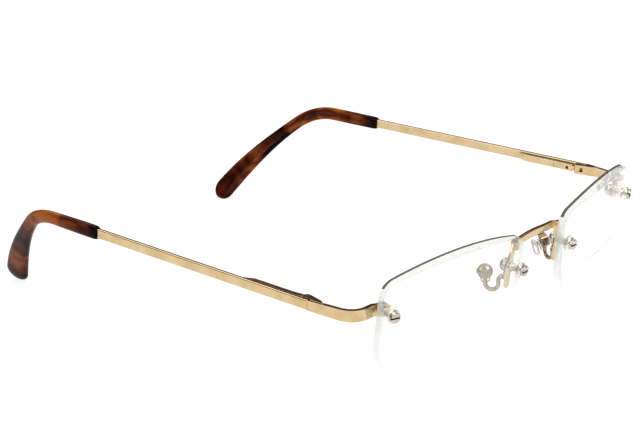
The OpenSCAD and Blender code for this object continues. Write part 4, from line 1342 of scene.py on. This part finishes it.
def mark_recess(mesh):
    """Marks the faces inside the slot, which the finish paints black as shade."""
    marks = mesh.attributes.new("recess", "FLOAT", "FACE")
    down, beside = MARK_MARGIN
    top = (-HEAD_HEIGHT + down) * MM
    floor_depth = (-HEAD_HEIGHT + SLOT_DEPTH + down) * MM
    for face, mark in zip(mesh.polygons, marks.data):
        between = abs(face.center.z) < (SLOT_WIDTH / 2 + beside) * MM
        mark.value = float(between and top < face.center.y < floor_depth)


def washer_object():
    """The dished metal washer. Depth 0 is the face on the clear washer."""
    bore = BORE_DIAMETER / 2
    rim = CUP_DIAMETER / 2
    dish = arc_profile((HEAD_DIAMETER / 2 + CUP_DISH[0], CUP_DISH[1]), RIM_ROUND, -90, -10, 5)
    return turned_object("washer to copy", [
        (bore, -CUP_THICKNESS), *dish, (rim, CUP_RIM), (rim, -EDGE_CUT), (rim - EDGE_CUT, 0),
        (bore, 0),
    ])


def nut_object():
    """The domed nut with a grooved collar. Depth 0 is its seat."""
    radius = NUT_DIAMETER / 2
    dome = NUT_HEIGHT * NUT_DOME_SHARE
    dome_radius = (radius * radius + dome * dome) / (2 * dome)
    middle = NUT_HEIGHT - dome_radius
    start = degrees(asin((NUT_HEIGHT - dome - middle) / dome_radius))
    crown = arc_profile((0, middle), dome_radius, start, 90, 9)[:-1]
    bore = BORE_DIAMETER / 2
    end = shank_length(NASAL_SITE) - nut_seat_depth(NASAL_SITE) + SEAT_GAP
    collar = [(radius - cut, depth) for depth, cut in NUT_COLLAR]
    return turned_object("nut to copy", [
        (0, end), (bore, end), (bore, 0), *collar, *crown, (0, NUT_HEIGHT),
    ])


# %% Node tree that sets a copy on each site
TREE_INPUTS = {
    "Sites": "NodeSocketGeometry",
    "Shape": "NodeSocketObject",
    "Size": "NodeSocketFloat",
    "Finish": "NodeSocketMaterial",
}


def copies_tree():
    """A tree that copies an object onto points by their turn attribute, and its keys."""
    tree = bpy.data.node_groups.new("copies on sites", "GeometryNodeTree")
    keys = {}
    for name, kind in TREE_INPUTS.items():
        keys[name] = tree.interface.new_socket(name, in_out="INPUT", socket_type=kind).identifier
    tree.interface.new_socket("Copies", in_out="OUTPUT", socket_type="NodeSocketGeometry")
    given = add_node(tree, "NodeGroupInput").outputs
    shape = add_node(tree, "GeometryNodeObjectInfo", {"Object": given["Shape"]})
    turn = feed(tree, "GeometryNodeInputNamedAttribute", {"Name": "turn"}, data_type="FLOAT_VECTOR")
    copies = feed(tree, "GeometryNodeInstanceOnPoints", {
        "Points": feed(tree, "GeometryNodeMeshToPoints", {"Mesh": given["Sites"]}),
        "Instance": shape.outputs["Geometry"],
        "Rotation": feed(tree, "FunctionNodeEulerToRotation", {"Euler": turn}),
        "Scale": given["Size"],
    })
    real = feed(tree, "GeometryNodeRealizeInstances", {"Geometry": copies})
    finish = {"Geometry": real, "Material": given["Finish"]}
    add_node(tree, "NodeGroupOutput", {"Copies": feed(tree, "GeometryNodeSetMaterial", finish)})
    return tree, keys


copy_tree, copy_keys = copies_tree()
print("tree inputs:", ", ".join(copy_keys))


# %% Screws, washers and nuts on their sites
def copied_piece(name, shape, depth_at, material, node_name):
    """Runs the tree on the four sites, at a depth along each hole, and keeps plain mesh."""
    matrices = []
    for flip in (Matrix(), MIRROR):
        for site in SITES:
            matrix = site_matrix(site) @ Matrix.Translation((0, depth_at(site), 0))
            matrices.append(flip @ matrix @ flip)
    mesh = bpy.data.meshes.new(name)
    mesh.from_pydata([matrix.translation * MM for matrix in matrices], [], [])
    turns = mesh.attributes.new("turn", "FLOAT_VECTOR", "POINT")
    for item, matrix in zip(turns.data, matrices):
        item.vector = matrix.to_euler()
    carrier = bpy.data.objects.new(name + "_sites", mesh)
    link_object(carrier)
    copies = carrier.modifiers.new("copies", "NODES")
    copies.node_group = copy_tree
    for key, value in (("Shape", shape), ("Size", 1.0), ("Finish", material)):
        copies[copy_keys[key]] = value
    tool = bmesh.new()
    tool.from_mesh(evaluated_mesh(carrier))
    carrier.modifiers.clear()
    bpy.data.objects.remove(carrier)
    bmesh.ops.scale(tool, vec=(1 / MM, 1 / MM, 1 / MM), verts=tool.verts)
    new_piece(name, tool, [material], "front", [node_name], 32)


copied_piece("lens_screws_turned", screw_object(), head_seat, steel_with_painted_slot, "lens_screws")
copied_piece(
    "cup_washers_turned", washer_object(),
    lambda site: head_seat(site) + CUP_THICKNESS + SEAT_GAP, washer_cream, "screw_washers",
)
copied_piece(
    "lens_nuts_turned", nut_object(), lambda site: head_seat(site) + nut_seat_depth(site),
    steel_with_painted_slot, "lens_nuts",
)

# %% [markdown]
# ## Bridge
# The bridge is one bent strap. A flat post stands behind each lens, held by the screw, and its
# top folds back into a slim bar that runs across the nose with rounded edges. Sweeping one small
# rounded section along the bent path keeps the bar even through its corners, where a bevelled box
# would need its corners rebuilt by hand. The posts are flat plates with a drilled hole.

# %% Swept bar
BAR_THICKNESS = 1.2
BAR_HEIGHT = 1.9
BAR_ROUND = 0.3
BAR_TOP = 25.07
BAR_ARCH = 0.4
BAR_DEPTH = 6.4 - CAD_BACK
BAR_END = Vector((10.4, 4.55 - CAD_BACK))
BEND_RADIUS = 0.9
BEND_STEPS = 8
BAR_STEPS = 14


def rounded_section(width, height, radius, steps=5):
    """Corner points of a rounded oblong, anticlockwise."""
    points = []
    for k, (sx, sy) in enumerate([(1, 1), (-1, 1), (-1, -1), (1, -1)]):
        centre = (sx * (width / 2 - radius), sy * (height / 2 - radius))
        points += arc_profile(centre, radius, 90 * k, 90 * (k + 1), steps)
    return points


def sweep(tool, path, section, up=UP, closed=False):
    """Sweeps a section along a path of points, with its second axis kept upright."""
    last = len(path) - 1
    rings = []
    for i, point in enumerate(path):
        before = path[i - 1] if closed or i > 0 else point
        after = path[(i + 1) % len(path)] if closed or i < last else point
        side = (after - before).normalized().cross(up).normalized()
        rings.append([tool.verts.new(point + side * a + up * b) for a, b in section])
    for first, second in zip(rings, rings[1:] + rings[:1] * closed):
        join_rings(tool, first, second)
    if not closed:
        tool.faces.new(rings[0])
        tool.faces.new(list(reversed(rings[-1])))


def bar_path():
    """Centre line of the bar from the left post over the nose to the right post."""
    turn = Vector((BAR_END.x - BEND_RADIUS, BAR_DEPTH - BEND_RADIUS))
    plan = [BAR_END]
    for k in range(BEND_STEPS + 1):
        angle = radians(90 * k / BEND_STEPS)
        plan.append(turn + BEND_RADIUS * Vector((cos(angle), sin(angle))))
    for k in range(1, BAR_STEPS + 1):
        plan.append(Vector((turn.x * (1 - k / BAR_STEPS), BAR_DEPTH)))
    half = []
    for p in plan:
        lift = BAR_ARCH * (cos(pi * min(abs(p.x) / turn.x, 1)) + 1) / 2
        half.append(Vector((p.x, p.y, BAR_TOP - BAR_HEIGHT / 2 + lift)))
    return half + [Vector((-p.x, p.y, p.z)) for p in reversed(half[:-1])]


# %% Posts
POST_WIDTH = 2.3
POST_DROP = 6.1
POST_LEAN = 2.0
POST_BEVEL = (0.12, 3)
POST_STEPS = 12
DRILL_LENGTH = 9


def post_mesh():
    """The left post in its hole's frame, with its hole drilled and its edges broken."""
    matrix = site_matrix(NASAL_SITE)
    front = half_lens(NASAL_SITE) + REAR_WASHER + SEAT_GAP
    low = (matrix @ Vector((-POST_LEAN, front, 0))).z
    rise = (BAR_TOP - low) / (matrix.to_3x3() @ UP).z
    half = POST_WIDTH / 2
    outline = arc_profile((0, half - POST_DROP), half, 180, 360, POST_STEPS)
    outline += [(half, 0), (half - POST_LEAN, rise), (-half - POST_LEAN, rise), (-half, 0)]
    plate = prism_object("post", [(x, front, z) for x, z in outline], (0, LUG_THICKNESS, 0))
    return carved_mesh(plate, bore_object(Matrix(), BORE_DIAMETER, 0, DRILL_LENGTH), POST_BEVEL)


# %% Bridge piece
def bridge_shape():
    """Bar and both posts in one mesh."""
    tool = bmesh.new()
    sweep(tool, bar_path(), rounded_section(BAR_THICKNESS, BAR_HEIGHT, BAR_ROUND))
    post = post_mesh()
    for matrix in (site_matrix(NASAL_SITE), MIRROR @ site_matrix(NASAL_SITE)):
        copy = post.copy()
        copy.transform(matrix)
        tool.from_mesh(copy)
        bpy.data.meshes.remove(copy)
    return tool


new_piece("bridge_bent", bridge_shape(), [gold], "front", ["bridge"], 38)

# %% [markdown]
# ## Spring housings
# The spring hinge hides in a slim box that is brazed to the inner side of the temple bar. Its rear
# end is cut at a slant, a collar at the front wraps the slider's neck, and a window in the
# collar shows it. The polished box mirrors the dark room in its flat top and the soft box in its
# thin rounded edges. Exact cuts after a bevel give such edges, where the round-backed CAD
# solid would smear the reflections over its whole side.

# %% Housing sizes
BAR_HALF = 0.55
CASE_START = 3.3
CASE_LENGTH = 17.7
CASE_SLANT = 2.4
CASE_LOW = -0.95
CASE_HIGH = 1.08
CASE_FALL = 0.07
CASE_REACH = 2.45
COLLAR_REACH = 2.75
COLLAR_LENGTH = 3.7
BORE_IN = 1.3
CASE_BORE = 1.3
CASE_WALL = 0.25
WINDOW_LENGTH = 2.0
WINDOW_HEIGHT = 0.91
WINDOW_OUT = -4
WINDOW_DEPTH = 0.3
AHEAD = 1
STOP_PLACE = 9.0
STOP_BORE = 0.66
STOP_LENGTH = 3
CASE_BEVEL = (0.2, 4)
LIP = 0.4


def housing_mesh():
    """The left housing in the side frame, in millimetres."""
    end = CASE_START + CASE_LENGTH
    plan = [
        (-BAR_HALF, CASE_START), (-BAR_HALF, end), (-BAR_HALF - LIP, end),
        (-CASE_REACH, end - CASE_SLANT), (-CASE_REACH, CASE_START + COLLAR_LENGTH),
        (-COLLAR_REACH, CASE_START + 2 * LIP), (-COLLAR_REACH, CASE_START + LIP),
        (-COLLAR_REACH + LIP, CASE_START),
    ]
    height = CASE_HIGH - CASE_LOW
    body = prism_object("housing", [(x, y, CASE_LOW) for x, y in plan], (0, 0, height))
    for vert in body.data.vertices:
        if vert.co.z > 0:
            vert.co.z += CASE_FALL * (vert.co.x + BAR_HALF)
    ahead = CASE_START - AHEAD
    window_end = CASE_START + WINDOW_LENGTH
    window_in = -BORE_IN - WINDOW_DEPTH
    sill = -WINDOW_HEIGHT / 2
    window = prism_object("window", [
        (WINDOW_OUT, ahead, sill), (window_in, ahead, sill), (window_in, window_end, sill),
        (WINDOW_OUT, window_end, sill),
    ], (0, 0, WINDOW_HEIGHT))
    middle = Matrix.Translation((-BORE_IN, 0, 0))
    slide = bore_object(middle, CASE_BORE, ahead, end - CASE_SLANT - CASE_WALL)
    across = Matrix.Translation((-BORE_IN, STOP_PLACE, 0)) @ Matrix.Rotation(pi / 2, 4, "Z")
    stop = bore_object(across, STOP_BORE, 0, STOP_LENGTH)
    return carved_mesh(body, CASE_BEVEL, slide, window, stop)


# %% Placing the housings
housing_shape = bmesh.new()
housing_shape.from_mesh(housing_mesh())
paired_pieces(
    "housing_edged", housing_shape, side_frame, [gold], "temple_body_SIDE",
    ["spring_housing_SIDE"], 38,
)

# %% [markdown]
# ## Pad tangs
# A small metal skeleton is moulded into each silicone pad: a wire frame for grip, a neck and an
# eye for the pad screw. It shows as thin dark lines in the clear pad. The wire frame is swept
# round a rounded oblong, because a pierced plate would show as one grey slab.

# %% Tang sizes
TANG_WIDTH = 2.6
TANG_LENGTH = 4.4
TANG_LOW = 0.9
TANG_WIRE = 0.45
TANG_ROUND = 0.8
TANG_DEPTH = 0.25 + PAD_START + 0.7
WIRE_FLAT = 0.01
NECK_OVERLAP = 0.15
NECK_SECTION = (0.8, 1.2, 0.25, 3)
EYE_DIAMETER = 1.7
EYE_BORE = 0.86
EYE_THICKNESS = 0.8


def tang_shape():
    """The left tang in the pad frame: wire frame, cross wire, neck and eye."""
    tool = bmesh.new()
    wire = rounded_section(TANG_WIRE, TANG_WIRE, TANG_WIRE / 2 - WIRE_FLAT, 3)
    reach = TANG_WIDTH - TANG_WIRE
    loop = rounded_section(reach, TANG_LENGTH - TANG_WIRE, TANG_ROUND, 6)
    ring = [Vector((TANG_DEPTH, y, z - TANG_LOW)) for y, z in loop]
    sweep(tool, ring, wire, Vector((1, 0, 0)), closed=True)
    sweep(tool, [Vector((TANG_DEPTH, y, 0)) for y in (-reach / 2, 0, reach / 2)], wire)
    neck = [Vector((x, 0, 0)) for x in (EYE_DIAMETER / 2 - NECK_OVERLAP, TANG_DEPTH)]
    sweep(tool, neck, rounded_section(*NECK_SECTION))
    half = EYE_THICKNESS / 2
    eye = turned_in_mm("eye", [
        (EYE_BORE / 2, -half), (EYE_DIAMETER / 2, -half), (EYE_DIAMETER / 2, half),
        (EYE_BORE / 2, half),
    ])
    tool.from_mesh(eye.data)
    bpy.data.objects.remove(eye)
    return tool


# %% Placing the tangs
paired_pieces(
    "tang_wire", tang_shape(), pad_frame, [steel], "nose_pad_body_SIDE",
    ["pad_tang_SIDE"], 38,
)

# %% [markdown]
# ## Domes of the pad boxes
# The round box that holds each pad ends in a shallow stamped dome. A cap of a ball mirrors the
# dark walls in its middle and the bright floor and soft box round its rim.

# %% Placing the domes
DOME_RADIUS = 1.9
DOME_TILT = radians(40)
DOME_START = -1.28
DOME_STEPS = 12
BALL = DOME_RADIUS / sin(DOME_TILT)
tilts = [DOME_TILT * (1 - step / DOME_STEPS) for step in range(1, DOME_STEPS)]
dome_profile = [(0, 0), (DOME_RADIUS, 0)]
dome_profile += [(BALL * sin(t), BALL * (cos(t) - cos(DOME_TILT))) for t in tilts]
dome_profile.append((0, BALL * (1 - cos(DOME_TILT))))
dome_shape = bmesh.new()
dome_shape.from_mesh(turned_object("dome", dome_profile).data)
onto = pad_frame @ Matrix.Translation((DOME_START, 0, 0)) @ Matrix.Rotation(pi / 2, 4, "Z")
onto = onto @ Matrix.Scale(1 / MM, 4)
# The domes take the darkened gold of the pad arms, a painted shade.
paired_pieces("pad_box_dome", dome_shape, onto, [shade_darkened_gold], "front", [])
